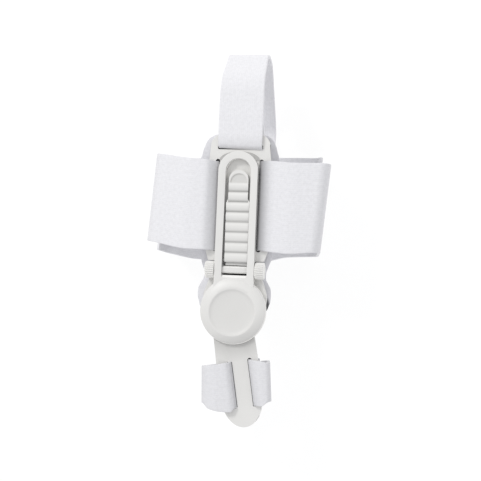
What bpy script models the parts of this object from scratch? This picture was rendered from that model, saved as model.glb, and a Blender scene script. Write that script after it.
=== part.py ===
"""Bunion corrector: a hinged toe splint with three elastic straps, lying on its back.

Everything is placed from the hinge axis of the toe lever, with the front face of the base plate
at height 0, +Y towards the heel and +Z out of the front. At the end the whole is lifted so that
the world origin is the middle of the underside of its box.
"""
import math

import bmesh
import bpy
from mathutils import Matrix, Vector

# Fits
GAP = 0.0003                    # between pieces that touch on the real thing
BORE_PLAY = 0.0003              # round a pin or axle
STRAP_THICKNESS = 0.0018
SLOT_SIDE_PLAY = 0.0006         # each side of a strap in the slots of the base plate
TOE_SLOT_SIDE_PLAY = 0.00035
SLOT_END_PLAY = 0.0004          # each end of the heel strap in its slot
SIDE_SLOT_END_PLAY = 0.00135    # each end of the mid-foot strap in its slots
TOE_SLOT_END_PLAY = 0.00105

# Straps
HEEL_STRAP_WIDTH = 0.025
MIDFOOT_STRAP_WIDTH = 0.050
TOE_STRAP_WIDTH = 0.0254

# Round knob cover
KNOB_RADIUS = 0.0187
KNOB_EDGE_HEIGHT = 0.0026       # straight side wall
KNOB_CREST_RADIUS = 0.0136
KNOB_CREST_RISE = 0.0022        # crest above the side wall
DISH_RADIUS = 0.0116
DISH_DEPTH = 0.0012

# Ring frame, one moulding with the knob cover
RING_HALF_WIDTH = 0.0112
RING_RIM = 0.00405
RING_HEIGHT = 0.0040
WINDOW_CORNER = 0.0012
WINDOW_FOOT_INSET = 0.0004      # window foot inside the knob's circle

# Thumb axle
WHEEL_RADIUS = 0.00475
WHEEL_LENGTH = 0.0051
KNURL_COUNT = 24
KNURL_DEPTH = 0.0004
AXLE_BAR_RADIUS = 0.0018
AXLE_HEIGHT = 0.0010
WHEEL_CLEARANCE = 0.00045

# Toe lever
LEVER_THICKNESS = 0.0022
LEVER_TOP = 0.0009
LEVER_ROOT_RADIUS = 0.0149
LEVER_HALF_WIDTH = 0.01175
LEVER_SHIFT = -0.0016           # of its outline, sideways from the slots
LEVER_WAIST_SHARE = 0.955
LEVER_LENGTH = 0.0645
LEVER_TIP_LENGTH = 0.0175
LEVER_REST_DEG = 9.8
LEVER_SWING_DEG = 25.0          # each way from the axis of the base plate
CENTRE_BAR_HALF_WIDTH = 0.0044
TOE_SLOT_FOOT_WALL = 0.0100     # from the far ends of the slots to the tip

# Hinge housing and pin
HOUSING_THICKNESS = 0.0030
HOUSING_RADIUS = 0.0176
HOUSING_WALL = 0.0020
HOUSING_SHOULDER_HALF_WIDTH = 0.0148
HOUSING_CHEEK_HALF_WIDTH = 0.0180
HOUSING_TOP_INSET = 0.0007
PIN_RADIUS = 0.0030

# Base plate
PLATE_THICKNESS = 0.0025
PLATE_HALF_WIDTH = 0.01745
PLATE_FOOT_HALF_WIDTH = 0.0154
PLATE_HEAD_HALF_WIDTH = 0.0162
PLATE_HEAD_CORNER = 0.0060
PLATE_FOOT_MARGIN = 0.0048      # from the foot to the side slots
SLOT_BRIDGE = 0.0047            # between the side slots and the heel slot
HEAD_BAR = 0.0062               # from the heel slot to the head
SLOT_RING_OVERLAP = 0.0002      # how far the ring covers the side slots
RING_HEEL_SLOT_INSET = 0.0019

# Ratchet ladder
LADDER_HALF_WIDTH = 0.0066
LADDER_TONGUE_HALF_WIDTH = 0.00555
LADDER_THICKNESS = 0.0028
LADDER_TIP_ROOM = 0.0062        # from the tip to the head of the window
LADDER_SHOULDER_SHARE = 0.655   # along the ladder, from its foot
LOUVRE_COUNT = 7
LOUVRE_PITCH = 0.00567
LOUVRE_DROP = 0.0009
POCKET_LENGTH = 0.0062
POCKET_RIM = 0.0009
POCKET_DEPTH = 0.0009

# Pad
PAD_HALF_WIDTH = 0.0225
PAD_SHIFT = -0.0012             # sideways from the base plate
PAD_THICKNESS = 0.0055
PAD_HEAD_OVERHANG = 0.0018      # past the head of the base plate
PAD_FOOT_DROP = 0.0100          # past the hinge axis
PAD_SQUARENESS = 3.2

# Loops, measured from the hinge axis and down from the front face of the base plate
LOOP_DEPTH = 0.0500
LOOP_REACH_LEFT = 0.0501
LOOP_REACH_RIGHT = 0.0496
LOW_REACH_LEFT = 0.0560         # reach at the back of the loop
LOW_REACH_RIGHT = 0.0425
LOOP_RADIUS_LEFT = 0.0140
LOOP_RADIUS_RIGHT = 0.0120
TAIL_WRAP_LEFT_DEG = 65.0       # how far up the far fold each tail reaches
TAIL_WRAP_RIGHT_DEG = 54.0
TOE_TAIL_WRAP_DEG = 30.0
MIDFOOT_LEAN_DEG = -4.0
HEEL_LOOP_REACH = 0.0474        # past the head of the base plate
HEEL_TAIL = 0.0128
HEEL_END_LAP = 0.0440           # lap of the heel strap on the mid-foot strap
TOE_LOOP_DEPTH = 0.0320
TOE_LEAN_DEG = -6.0
TOE_REACH_LEFT = 0.0234
TOE_ROOM_RIGHT = 0.0043         # between the edge of the lever and the strap
TOE_LOW_REACH_LEFT = 0.0262     # reach at the back of the loop
TOE_LOW_REACH_RIGHT = 0.0105
TOE_RADIUS_LEFT = 0.0105
TOE_RADIUS_RIGHT = 0.0085

# Rows of the pad, from its foot to its head: share of its length, of its half width, of its thickness
PAD_ROWS = [
    {"along": 0.000, "width": 0.20, "thick": 0.30},
    {"along": 0.012, "width": 0.42, "thick": 0.58},
    {"along": 0.045, "width": 0.63, "thick": 0.88},
    {"along": 0.090, "width": 0.78, "thick": 1.00},
    {"along": 0.140, "width": 0.875, "thick": 1.00},
    {"along": 0.183, "width": 0.905, "thick": 1.00},
    {"along": 0.215, "width": 0.88, "thick": 0.94},
    {"along": 0.248, "width": 0.81, "thick": 0.86},
    {"along": 0.285, "width": 0.82, "thick": 0.88},
    {"along": 0.340, "width": 0.90, "thick": 0.98},
    {"along": 0.395, "width": 0.94, "thick": 1.00},
    {"along": 0.620, "width": 0.97, "thick": 1.00},
    {"along": 0.850, "width": 1.00, "thick": 1.00},
    {"along": 0.905, "width": 0.94, "thick": 1.00},
    {"along": 0.945, "width": 0.87, "thick": 0.92},
    {"along": 0.972, "width": 0.77, "thick": 0.76},
    {"along": 0.990, "width": 0.60, "thick": 0.52},
    {"along": 1.000, "width": 0.34, "thick": 0.28},
]

# Bends of the mid-foot strap outside the slots, as shares of the reach, of the loop depth and of the
# strap's width: sideways place, height, bend radius (share of the reach), shift along the fold, lean
MIDFOOT_FRONT_LEFT = [
    {"side": 0.37, "height": 0.080, "bend": 0.15, "shift": -0.004, "lean": 0.25, "width": 1.01},
    {"side": 0.56, "height": 0.092, "bend": 0.50, "shift": 0.003, "lean": 0.55, "width": 1.02},
    {"side": 1.00, "height": 0.030, "bend": 0.10, "shift": 0.066, "lean": 1.0},
]
MIDFOOT_FRONT_RIGHT = [
    {"side": 0.37, "height": 0.062, "bend": 0.15, "shift": -0.006, "lean": 0.25, "width": 1.01},
    {"side": 0.62, "height": 0.070, "bend": 0.50, "shift": -0.022, "lean": 0.60, "width": 1.01},
    {"side": 1.00, "height": 0.012, "bend": 0.12, "shift": -0.006, "lean": 1.25},
]
MIDFOOT_SLOT_SHIFT = {"left": -0.012, "right": 0.001}
MIDFOOT_TAIL_SHIFT = {"left": 0.169, "right": -0.030}
# Places along the floor of the outer run, from right to left, with their shift
MIDFOOT_OUTER_RUN = [
    {"side": 0.0240, "shift": -0.030},
    {"side": 0.0110, "shift": -0.086},
    {"side": -0.0300, "shift": -0.088},
]

TOE_FRONT_LEFT = [
    {"side": 0.36, "height": 0.100, "bend": 0.20, "shift": -0.035, "lean": 0.15, "width": 1.07},
    {"side": 0.64, "height": 0.118, "bend": 0.30, "shift": -0.018, "lean": 0.50, "width": 1.01},
    {"side": 0.86, "height": 0.095, "bend": 0.25, "shift": 0.028, "lean": 0.90, "width": 0.94},
    {"side": 1.00, "height": 0.045, "bend": 0.12, "shift": 0.096, "lean": 1.25, "width": 0.82},
]
TOE_FRONT_RIGHT = [
    {"side": 0.66, "height": 0.108, "bend": 0.20, "shift": -0.032, "lean": 0.40, "width": 0.98},
    {"side": 1.00, "height": 0.085, "bend": 0.14, "shift": -0.024, "lean": 0.90, "width": 0.85},
]
TOE_TAIL_SHIFT = 0.040

PLASTIC = {"name": "shell_plastic", "color": (0.80, 0.79, 0.75), "roughness": 0.38}
ELASTIC = {"name": "strap_elastic", "color": (0.80, 0.80, 0.84), "roughness": 0.92}
COVER_CLOTH = {"name": "pad_cloth", "color": (0.72, 0.72, 0.78), "roughness": 0.95}

# Places that follow from the sizes
HALF_STRAP = STRAP_THICKNESS / 2
LAP = STRAP_THICKNESS + GAP
SIDE_SLOT_WIDTH = STRAP_THICKNESS + 2 * SLOT_SIDE_PLAY
TOE_SLOT_WIDTH = STRAP_THICKNESS + 2 * TOE_SLOT_SIDE_PLAY
LEVER_UNDERSIDE = LEVER_TOP - LEVER_THICKNESS
HOUSING_TOP = LEVER_UNDERSIDE - GAP
KNOB_UNDERSIDE = LEVER_TOP + GAP
PAD_TOP = -max(PLATE_THICKNESS + STRAP_THICKNESS + 2 * GAP, HOUSING_THICKNESS - HOUSING_TOP + GAP)
HOUSING_HEAD_Y = KNOB_RADIUS - HOUSING_TOP_INSET
AXLE_Y = HOUSING_HEAD_Y + math.sqrt((WHEEL_RADIUS + WHEEL_CLEARANCE) ** 2 - (AXLE_HEIGHT - HOUSING_TOP) ** 2)
PLATE_FOOT_Y = AXLE_Y + WHEEL_RADIUS + WHEEL_CLEARANCE
SIDE_SLOT_LENGTH = MIDFOOT_STRAP_WIDTH + 2 * SIDE_SLOT_END_PLAY
SIDE_SLOT_FOOT_Y = PLATE_FOOT_Y + PLATE_FOOT_MARGIN
SIDE_SLOT_HEAD_Y = SIDE_SLOT_FOOT_Y + SIDE_SLOT_LENGTH
SIDE_SLOT_X = RING_HALF_WIDTH - SLOT_RING_OVERLAP + SIDE_SLOT_WIDTH / 2
MIDFOOT_Y = (SIDE_SLOT_FOOT_Y + SIDE_SLOT_HEAD_Y) / 2
HEEL_SLOT_FOOT_Y = SIDE_SLOT_HEAD_Y + SLOT_BRIDGE
HEEL_SLOT_HEAD_Y = HEEL_SLOT_FOOT_Y + SIDE_SLOT_WIDTH
HEEL_SLOT_Y = (HEEL_SLOT_FOOT_Y + HEEL_SLOT_HEAD_Y) / 2
PLATE_HEAD_Y = HEEL_SLOT_HEAD_Y + HEAD_BAR
RING_HEAD_Y = HEEL_SLOT_FOOT_Y - RING_HEEL_SLOT_INSET
WINDOW_HALF_WIDTH = RING_HALF_WIDTH - RING_RIM
WINDOW_HEAD_Y = RING_HEAD_Y - RING_RIM
WINDOW_FOOT_Y = KNOB_RADIUS - WINDOW_FOOT_INSET
LADDER_HEAD_Y = WINDOW_HEAD_Y - LADDER_TIP_ROOM
LADDER_FOOT_Y = PLATE_FOOT_Y - GAP
TOE_SLOT_X = CENTRE_BAR_HALF_WIDTH + TOE_SLOT_WIDTH / 2
TOE_SLOT_LENGTH = TOE_STRAP_WIDTH + 2 * TOE_SLOT_END_PLAY
TOE_SLOT_Y = -(LEVER_LENGTH - TOE_SLOT_FOOT_WALL - TOE_SLOT_LENGTH / 2)
TOE_REACH_RIGHT = LEVER_HALF_WIDTH + LEVER_SHIFT + TOE_ROOM_RIGHT + STRAP_THICKNESS
PAD_HEAD_Y = PLATE_HEAD_Y + PAD_HEAD_OVERHANG
STRAP_ON_FRONT = GAP + HALF_STRAP
STRAP_BEHIND_PLATE = -(PLATE_THICKNESS + GAP + HALF_STRAP)

ARC_STEP = math.radians(9)


def clear_scene():
    for item in list(bpy.data.objects):
        bpy.data.objects.remove(item)


def collection(name):
    group = bpy.data.collections.new(name)
    bpy.context.scene.collection.children.link(group)
    return group


def material(spec):
    made = bpy.data.materials.get(spec["name"]) or bpy.data.materials.new(spec["name"])
    made.use_nodes = True
    shader = made.node_tree.nodes["Principled BSDF"]
    shader.inputs["Base Color"].default_value = (*spec["color"], 1)
    shader.inputs["Roughness"].default_value = spec["roughness"]
    shader.inputs["Metallic"].default_value = 0
    made.diffuse_color = (*spec["color"], 1)
    return made


def add_object(name, mesh, group, spec=None, parent=None):
    item = bpy.data.objects.new(name, mesh)
    group.objects.link(item)
    item.parent = parent
    if spec:
        mesh.materials.append(material(spec))
    return item


def add_cutter(name, mesh, group, parent=None):
    item = add_object(name, mesh, group, parent=parent)
    item.hide_render = True
    item.display_type = "WIRE"
    return item


def boolean(item, other, operation):
    change = item.modifiers.new(operation.lower() + "_" + other.name, "BOOLEAN")
    change.operation = operation
    change.object = other
    change.solver = "EXACT"


def bevel(item, width, segments=1, angle_deg=40):
    change = item.modifiers.new("edges", "BEVEL")
    change.width = width
    change.segments = segments
    change.limit_method = "ANGLE"
    change.angle_limit = math.radians(angle_deg)


def mesh_from_bmesh(name, work):
    bmesh.ops.recalc_face_normals(work, faces=work.faces)
    mesh = bpy.data.meshes.new(name)
    work.to_mesh(mesh)
    work.free()
    return mesh


def arc(centre, radius, start_deg, end_deg, count):
    steps = [math.radians(start_deg + (end_deg - start_deg) * i / count) for i in range(count + 1)]
    return [(centre[0] + radius * math.cos(a), centre[1] + radius * math.sin(a)) for a in steps]


def rounded_outline(corners, count=5):
    """Closed outline from corners given as (x, y, radius)."""
    points = []
    total = len(corners)
    for i, (x, y, radius) in enumerate(corners):
        here = Vector((x, y))
        back = (Vector(corners[i - 1][:2]) - here)
        ahead = (Vector(corners[(i + 1) % total][:2]) - here)
        points += fillet(here, back, ahead, radius, count)[0]
    return [(p.x, p.y) for p in points]


def fillet(here, back, ahead, radius, count):
    """Points of the round at one corner, and the length it takes from each side."""
    turn = math.pi - back.angle(ahead)
    if radius <= 0 or turn < 1e-4:
        return [here], 0.0
    taken = min(radius * math.tan(turn / 2), 0.49 * back.length, 0.49 * ahead.length)
    radius = taken / math.tan(turn / 2)
    start = here + back.normalized() * taken
    inward = (back.normalized() + ahead.normalized()).normalized()
    centre = here + inward * math.hypot(radius, taken)
    arm = start - centre
    side = 1 if back.x * ahead.y - back.y * ahead.x < 0 else -1
    spins = [side * turn * i / count for i in range(count + 1)]
    return [centre + Matrix.Rotation(spin, 2) @ arm for spin in spins], taken


def flat_solid(name, outlines, low, high):
    """Plate between two heights: the first outline is its edge, the others are holes."""
    curve = bpy.data.curves.new(name, "CURVE")
    curve.dimensions = "2D"
    curve.fill_mode = "BOTH"
    curve.extrude = (high - low) / 2
    for outline in outlines:
        spline = curve.splines.new("POLY")
        spline.points.add(len(outline) - 1)
        for point, (x, y) in zip(spline.points, outline):
            point.co = (x, y, 0, 1)
        spline.use_cyclic_u = True
    holder = bpy.data.objects.new(name + "_outline", curve)
    bpy.context.scene.collection.objects.link(holder)
    seen = holder.evaluated_get(bpy.context.evaluated_depsgraph_get())
    work = bmesh.new()
    work.from_mesh(bpy.data.meshes.new_from_object(seen))
    bpy.data.objects.remove(holder)
    bmesh.ops.remove_doubles(work, verts=work.verts, dist=1e-6)
    bmesh.ops.dissolve_limit(work, angle_limit=0.01, verts=work.verts, edges=work.edges)
    bmesh.ops.translate(work, verts=work.verts, vec=(0, 0, (low + high) / 2))
    return mesh_from_bmesh(name, work)


def slot_outline(x, y, width, length, count=6):
    """Long hole along Y with round ends."""
    half = length / 2 - width / 2
    head = arc((x, y + half), width / 2, 0, 180, count)
    foot = arc((x, y - half), width / 2, 180, 360, count)
    return head + foot


def box_mesh(name, low, high):
    work = bmesh.new()
    bmesh.ops.create_cube(work, size=1)
    size = [b - a for a, b in zip(low, high)]
    middle = [(a + b) / 2 for a, b in zip(low, high)]
    bmesh.ops.scale(work, verts=work.verts, vec=size)
    bmesh.ops.translate(work, verts=work.verts, vec=middle)
    return mesh_from_bmesh(name, work)


def cylinder_mesh(name, radius, length, sides, turn=None, centre=(0, 0, 0)):
    work = bmesh.new()
    bmesh.ops.create_cone(
        work, cap_ends=True, segments=sides, radius1=radius, radius2=radius, depth=length)
    if turn:
        bmesh.ops.rotate(work, verts=work.verts, matrix=turn, cent=(0, 0, 0))
    bmesh.ops.translate(work, verts=work.verts, vec=centre)
    return mesh_from_bmesh(name, work)


def loft_mesh(name, rings):
    """Closed body through rings of the same number of points."""
    work = bmesh.new()
    made = [[work.verts.new(point) for point in ring] for ring in rings]
    count = len(rings[0])
    for ring, following in zip(made, made[1:]):
        for i in range(count):
            j = (i + 1) % count
            work.faces.new((ring[i], ring[j], following[j], following[i]))
    work.faces.new(made[0][::-1])
    work.faces.new(made[-1])
    return mesh_from_bmesh(name, work)


def bend_path(rows):
    """Stations of a strap through bends given as rows with place, radius and further columns.

    Each round is drawn as an arc. The further columns run evenly from bend to bend.
    """
    stations = []
    for i, row in enumerate(rows):
        if i in (0, len(rows) - 1):
            points = [row["place"]]
        else:
            back = rows[i - 1]["place"] - row["place"]
            ahead = rows[i + 1]["place"] - row["place"]
            turn = math.pi - back.angle(ahead)
            count = max(2, math.ceil(turn / ARC_STEP))
            points = fillet(row["place"], back, ahead, row["radius"], count)[0]
        stations += [dict(row, place=point) for point in points]
    spread_columns(stations, rows)
    return stations


def spread_columns(stations, rows):
    """Give each station the shift, lean and width between those of the bends beside it."""
    lengths = [0.0]
    for before, after in zip(stations, stations[1:]):
        lengths.append(lengths[-1] + (after["place"] - before["place"]).length)
    marks = []
    for row in rows:
        near = [k for k, s in enumerate(stations) if s["bend"] == row["bend"]]
        marks.append((lengths[near[0]] + lengths[near[-1]]) / 2)
    for key in ("shift", "lean", "width"):
        values = [row[key] for row in rows]
        for station, length in zip(stations, lengths):
            station[key] = between(length, marks, values)


def between(value, marks, values):
    for k in range(len(marks) - 1):
        if value <= marks[k + 1]:
            share = (value - marks[k]) / max(marks[k + 1] - marks[k], 1e-9)
            share = min(max(share, 0.0), 1.0)
            return values[k] + (values[k + 1] - values[k]) * share
    return values[-1]


def strap_surface(name, stations, point_of):
    """Open strip of two edges through the stations; point_of places a station's ruling."""
    work = bmesh.new()
    pairs = [[work.verts.new(point) for point in point_of(station)] for station in stations]
    for (a, b), (c, d) in zip(pairs, pairs[1:]):
        work.faces.new((a, b, d, c))
    mesh = bpy.data.meshes.new(name)
    work.to_mesh(mesh)
    work.free()
    return mesh


def strap_object(name, stations, point_of, group, parent):
    mesh = strap_surface(name, stations, point_of)
    item = add_object(name, mesh, group, ELASTIC, parent)
    thick = item.modifiers.new("thickness", "SOLIDIFY")
    thick.thickness = STRAP_THICKNESS
    thick.offset = 0
    thick.use_even_offset = True
    return item


def row(bend, side, height, radius, shift=0.0, lean=0.0, width=1.0):
    return {
        "bend": bend, "place": Vector((side, height)), "radius": radius,
        "shift": shift, "lean": lean, "width": width}


def lapped_rows(slot_x, slot_width, front, behind, shape):
    """Rows of a strap that passes behind two slots and laps over itself at the back.

    It starts with the inner tail at the right, runs left, comes forward, goes through both slots
    and returns behind, outside the inner tail.
    """
    left, right = shape["left"], shape["right"]
    floor = -shape["depth"] + HALF_STRAP
    inner = floor + LAP
    lean = shape["lean"]
    bend = slot_width / 2
    wide = shape["tail_width"]
    left_low = Vector((-(left["low_reach"] - HALF_STRAP), inner))
    right_low = Vector((right["low_reach"] - HALF_STRAP, floor))
    fronts = {side: front_rows(side, shape) for side in ("left", "right")}
    far = fillet_centre(
        right_low, Vector((-1, 0)), fronts["right"][-1]["place"] - right_low, right["radius"] + LAP)
    near = fillet_centre(
        left_low, Vector((1, 0)), fronts["left"][-1]["place"] - left_low, left["radius"])
    rows = tail_rows("inner", far, right["radius"], right["wrap"], 1, left["tail"], left["tail"], shape)
    rows.append(row("left_low", *left_low, left["radius"], left["tail"] * 0.8, lean, wide))
    rows += reversed(fronts["left"])
    rows.append(row("left_slot_front", -slot_x, front, bend, left["slot"]))
    rows.append(row("left_slot_back", -slot_x, behind, bend, left["slot"]))
    rows.append(row("right_slot_back", slot_x, behind, bend, right["slot"]))
    rows.append(row("right_slot_front", slot_x, front, bend, right["slot"]))
    rows += fronts["right"]
    rows.append(row("right_low", *right_low, right["radius"] + LAP, right["tail"] * 0.5, lean, wide))
    for k, place in enumerate(shape.get("outer_run", [])):
        rows.append(row(f"outer_run_{k}", place["side"], floor, 0, place["shift"], lean, wide))
    rows += reversed(tail_rows(
        "outer", near, left["radius"] + LAP, left["wrap"], -1, right["tail"] * 0.1, right["tail"], shape))
    return rows


def front_rows(side, shape):
    """Rows of the bends in front, from a slot out to the fold of one side."""
    half = shape[side]
    sign = -1 if side == "left" else 1
    rows = []
    for k, place in enumerate(half["front"]):
        rows.append(row(
            f"{side}_front_{k}", sign * place["side"] * (half["reach"] - HALF_STRAP),
            place["height"] * shape["depth"], place["bend"] * half["reach"],
            place["shift"], place.get("lean", 0.0) * shape["lean"], place.get("width", 1.0)))
    return rows


def tail_rows(name, centre, radius, wrap_deg, side, end_shift, turn_shift, shape):
    """Rows of a tail's end and of the arc by which it comes down to the floor."""
    wrap = math.radians(wrap_deg)
    end = arc_end(centre, radius, wrap, side)
    middle = arc_end(centre, radius / math.cos(wrap / 2), wrap / 2, side)
    lean, wide = shape["lean"], shape["tail_width"]
    return [
        row(name + "_end", *end, 0, end_shift, lean, wide),
        row(name + "_turn", *middle, radius, turn_shift, lean, wide)]


def fillet_centre(corner, along, wall, radius):
    """Centre of the round between the floor and a leaning wall at a corner."""
    half_angle = along.angle(wall) / 2
    return corner + (along.normalized() + wall.normalized()).normalized() * radius / math.sin(half_angle)


def arc_end(centre, radius, angle, side):
    """Point on an arc that starts straight below its centre and rises to one side."""
    return centre + Vector((side * radius * math.sin(angle), -radius * math.cos(angle)))


def lapped_strap(name, strap_width, middle_y, rows, group, parent):
    def ruling(station):
        lean = math.radians(station["lean"])
        along = Vector((-math.sin(lean), math.cos(lean), 0))
        side, height = station["place"]
        centre = Vector((side, middle_y, height)) + along * station["shift"] * strap_width
        half = along * strap_width * station["width"] / 2
        return centre - half, centre + half
    return strap_object(name, bend_path(rows), ruling, group, parent)


def make_base_plate(parts, parent):
    edge = [
        (PLATE_FOOT_HALF_WIDTH, PLATE_FOOT_Y, 0.0015),
        (PLATE_HALF_WIDTH, PLATE_FOOT_Y + PLATE_FOOT_MARGIN * 1.1, 0.003),
        (PLATE_HALF_WIDTH, SIDE_SLOT_HEAD_Y, 0.020),
        (PLATE_HEAD_HALF_WIDTH, PLATE_HEAD_Y, PLATE_HEAD_CORNER),
    ]
    mirrored = [(-x, y, radius) for x, y, radius in reversed(edge)]
    outline = rounded_outline(edge + mirrored)
    holes = [
        slot_outline(side * SIDE_SLOT_X, MIDFOOT_Y, SIDE_SLOT_WIDTH, SIDE_SLOT_LENGTH)
        for side in (-1, 1)]
    half = HEEL_STRAP_WIDTH / 2 + SLOT_END_PLAY
    corner = SIDE_SLOT_WIDTH * 0.3
    holes.append(rounded_outline([
        (-half, HEEL_SLOT_FOOT_Y, corner), (half, HEEL_SLOT_FOOT_Y, corner),
        (half, HEEL_SLOT_HEAD_Y, corner), (-half, HEEL_SLOT_HEAD_Y, corner)], 3))
    mesh = flat_solid("base_plate", [outline] + holes, -PLATE_THICKNESS, 0)
    item = add_object("base_plate", mesh, parts, PLASTIC, parent)
    bevel(item, 0.00035)
    return item


def knob_mesh():
    """Turned cover: side wall, sloping rim, crest and shallow dish."""
    edge_top = KNOB_UNDERSIDE + KNOB_EDGE_HEIGHT
    crest = edge_top + KNOB_CREST_RISE
    rim = KNOB_RADIUS - KNOB_CREST_RADIUS
    profile = [
        (0, crest - DISH_DEPTH), (DISH_RADIUS * 0.8, crest - DISH_DEPTH),
        (DISH_RADIUS, crest - DISH_DEPTH * 0.82),
        ((DISH_RADIUS + KNOB_CREST_RADIUS) / 2, crest - DISH_DEPTH * 0.28),
        (KNOB_CREST_RADIUS, crest),
        (KNOB_CREST_RADIUS + rim * 0.35, crest - KNOB_CREST_RISE * 0.16),
        (KNOB_CREST_RADIUS + rim * 0.75, crest - KNOB_CREST_RISE * 0.58),
        (KNOB_RADIUS, edge_top), (KNOB_RADIUS, KNOB_UNDERSIDE), (0, KNOB_UNDERSIDE)]
    work = bmesh.new()
    verts = [work.verts.new((x, 0, z)) for x, z in profile]
    for a, b in zip(verts, verts[1:]):
        work.edges.new((a, b))
    bmesh.ops.spin(
        work, geom=work.verts[:] + work.edges[:], cent=(0, 0, 0), axis=(0, 0, 1),
        angle=math.tau, steps=56, use_merge=True)
    bmesh.ops.remove_doubles(work, verts=work.verts, dist=1e-6)
    return mesh_from_bmesh("knob", work)


def make_cover_frame(parts, cutters, parent):
    head = arc((0, RING_HEAD_Y - RING_HALF_WIDTH), RING_HALF_WIDTH, 0, 180, 20)
    foot_y = KNOB_RADIUS * 0.55
    ring = head + [(-RING_HALF_WIDTH, foot_y), (RING_HALF_WIDTH, foot_y)]
    half = WINDOW_HALF_WIDTH
    window = arc((0, WINDOW_HEAD_Y - half), half, 0, 180, 16)
    for centre_x, start in ((-half + WINDOW_CORNER, 180), (half - WINDOW_CORNER, 270)):
        window += arc((centre_x, WINDOW_FOOT_Y + WINDOW_CORNER), WINDOW_CORNER, start, start + 90, 3)
    mesh = flat_solid("cover_frame", [ring, window], GAP, GAP + RING_HEIGHT)
    item = add_object("cover_frame", mesh, parts, PLASTIC, parent)
    bevel(item, 0.0005, 2)
    knob = add_cutter("knob_form", knob_mesh(), cutters, parent)
    boolean(item, knob, "UNION")
    reach = RING_HALF_WIDTH + 0.001
    room = box_mesh(
        "lever_room_form", (-reach, foot_y - 0.001, -0.001), (reach, KNOB_RADIUS, KNOB_UNDERSIDE))
    boolean(item, add_cutter("lever_room", room, cutters, parent), "DIFFERENCE")
    bore = AXLE_BAR_RADIUS + BORE_PLAY
    turn = Matrix.Rotation(math.pi / 2, 3, "Y")
    round_cut = cylinder_mesh(
        "axle_bore_form", bore, 2 * reach, 24, turn, (0, AXLE_Y, AXLE_HEIGHT))
    boolean(item, add_cutter("axle_bore", round_cut, cutters, parent), "DIFFERENCE")
    open_cut = box_mesh(
        "axle_mouth_form", (-reach, AXLE_Y - bore, -0.001), (reach, AXLE_Y + bore, AXLE_HEIGHT))
    boolean(item, add_cutter("axle_mouth", open_cut, cutters, parent), "DIFFERENCE")
    return item


def make_ladder(parts, cutters, parent):
    low, high = GAP, GAP + LADDER_THICKNESS
    length = LADDER_HEAD_Y - LADDER_FOOT_Y
    shoulder = LADDER_FOOT_Y + length * LADDER_SHOULDER_SHARE
    step = LADDER_HALF_WIDTH - LADDER_TONGUE_HALF_WIDTH
    tongue = LADDER_TONGUE_HALF_WIDTH
    tip = arc((0, LADDER_HEAD_Y - tongue), tongue, 0, 180, 14)
    outline = tip + [
        (-tongue, shoulder + step * 1.3), (-LADDER_HALF_WIDTH, shoulder),
        (-LADDER_HALF_WIDTH, LADDER_FOOT_Y), (LADDER_HALF_WIDTH, LADDER_FOOT_Y),
        (LADDER_HALF_WIDTH, shoulder), (tongue, shoulder + step * 1.3)]
    mesh = flat_solid("ratchet_ladder", [outline], low, high)
    item = add_object("ratchet_ladder", mesh, parts, PLASTIC, parent)
    pocket_foot = LADDER_HEAD_Y - POCKET_RIM - POCKET_LENGTH
    for k in range(LOUVRE_COUNT):
        top_y = pocket_foot - LOUVRE_PITCH * 0.25 - LOUVRE_PITCH * k
        wedge = louvre_cut(f"louvre_cut_{k + 1}", top_y, high)
        boolean(item, add_cutter(f"louvre_{k + 1}", wedge, cutters, parent), "DIFFERENCE")
    inner = tongue - POCKET_RIM
    hollow = arc((0, LADDER_HEAD_Y - POCKET_RIM - inner), inner, 0, 180, 12)
    hollow += [(-inner, pocket_foot), (inner, pocket_foot)]
    pocket = flat_solid("pocket_form", [hollow], high - POCKET_DEPTH, high + 0.001)
    boolean(item, add_cutter("pocket", pocket, cutters, parent), "DIFFERENCE")
    return item


def louvre_cut(name, head_y, high):
    """Wedge that leaves a louvre rising towards the toe and dropping at its end."""
    reach = LADDER_HALF_WIDTH + 0.001
    rings = []
    for x in (-reach, reach):
        rings.append([
            Vector((x, head_y, high - LOUVRE_DROP)), Vector((x, head_y, high + 0.001)),
            Vector((x, head_y - LOUVRE_PITCH * 0.94, high + 0.001)),
            Vector((x, head_y - LOUVRE_PITCH * 0.94, high - LOUVRE_DROP * 0.04))])
    return loft_mesh(name, rings)


def make_thumb_axle(parts, parent):
    sides = KNURL_COUNT * 2
    inner = RING_HALF_WIDTH + GAP

    def ring(x, radius, ridge):
        points = []
        for i in range(sides):
            angle = math.tau * i / sides
            r = radius - (ridge if i % 2 else 0)
            points.append(Vector((x, r * math.cos(angle), r * math.sin(angle))))
        return points

    chamfer = KNURL_DEPTH
    outer = inner + WHEEL_LENGTH
    bar = AXLE_BAR_RADIUS
    wheel = WHEEL_RADIUS
    half = [
        (outer, wheel - chamfer, 0), (outer - chamfer, wheel, KNURL_DEPTH),
        (inner + chamfer, wheel, KNURL_DEPTH), (inner, wheel - chamfer, 0), (inner, bar, 0)]
    rings = [ring(-x, r, ridge) for x, r, ridge in half]
    rings += [ring(x, r, ridge) for x, r, ridge in reversed(half)]
    item = add_object("thumb_axle", loft_mesh("thumb_axle", rings), parts, PLASTIC, parent)
    item.location = (0, AXLE_Y, AXLE_HEIGHT)
    return item


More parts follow.
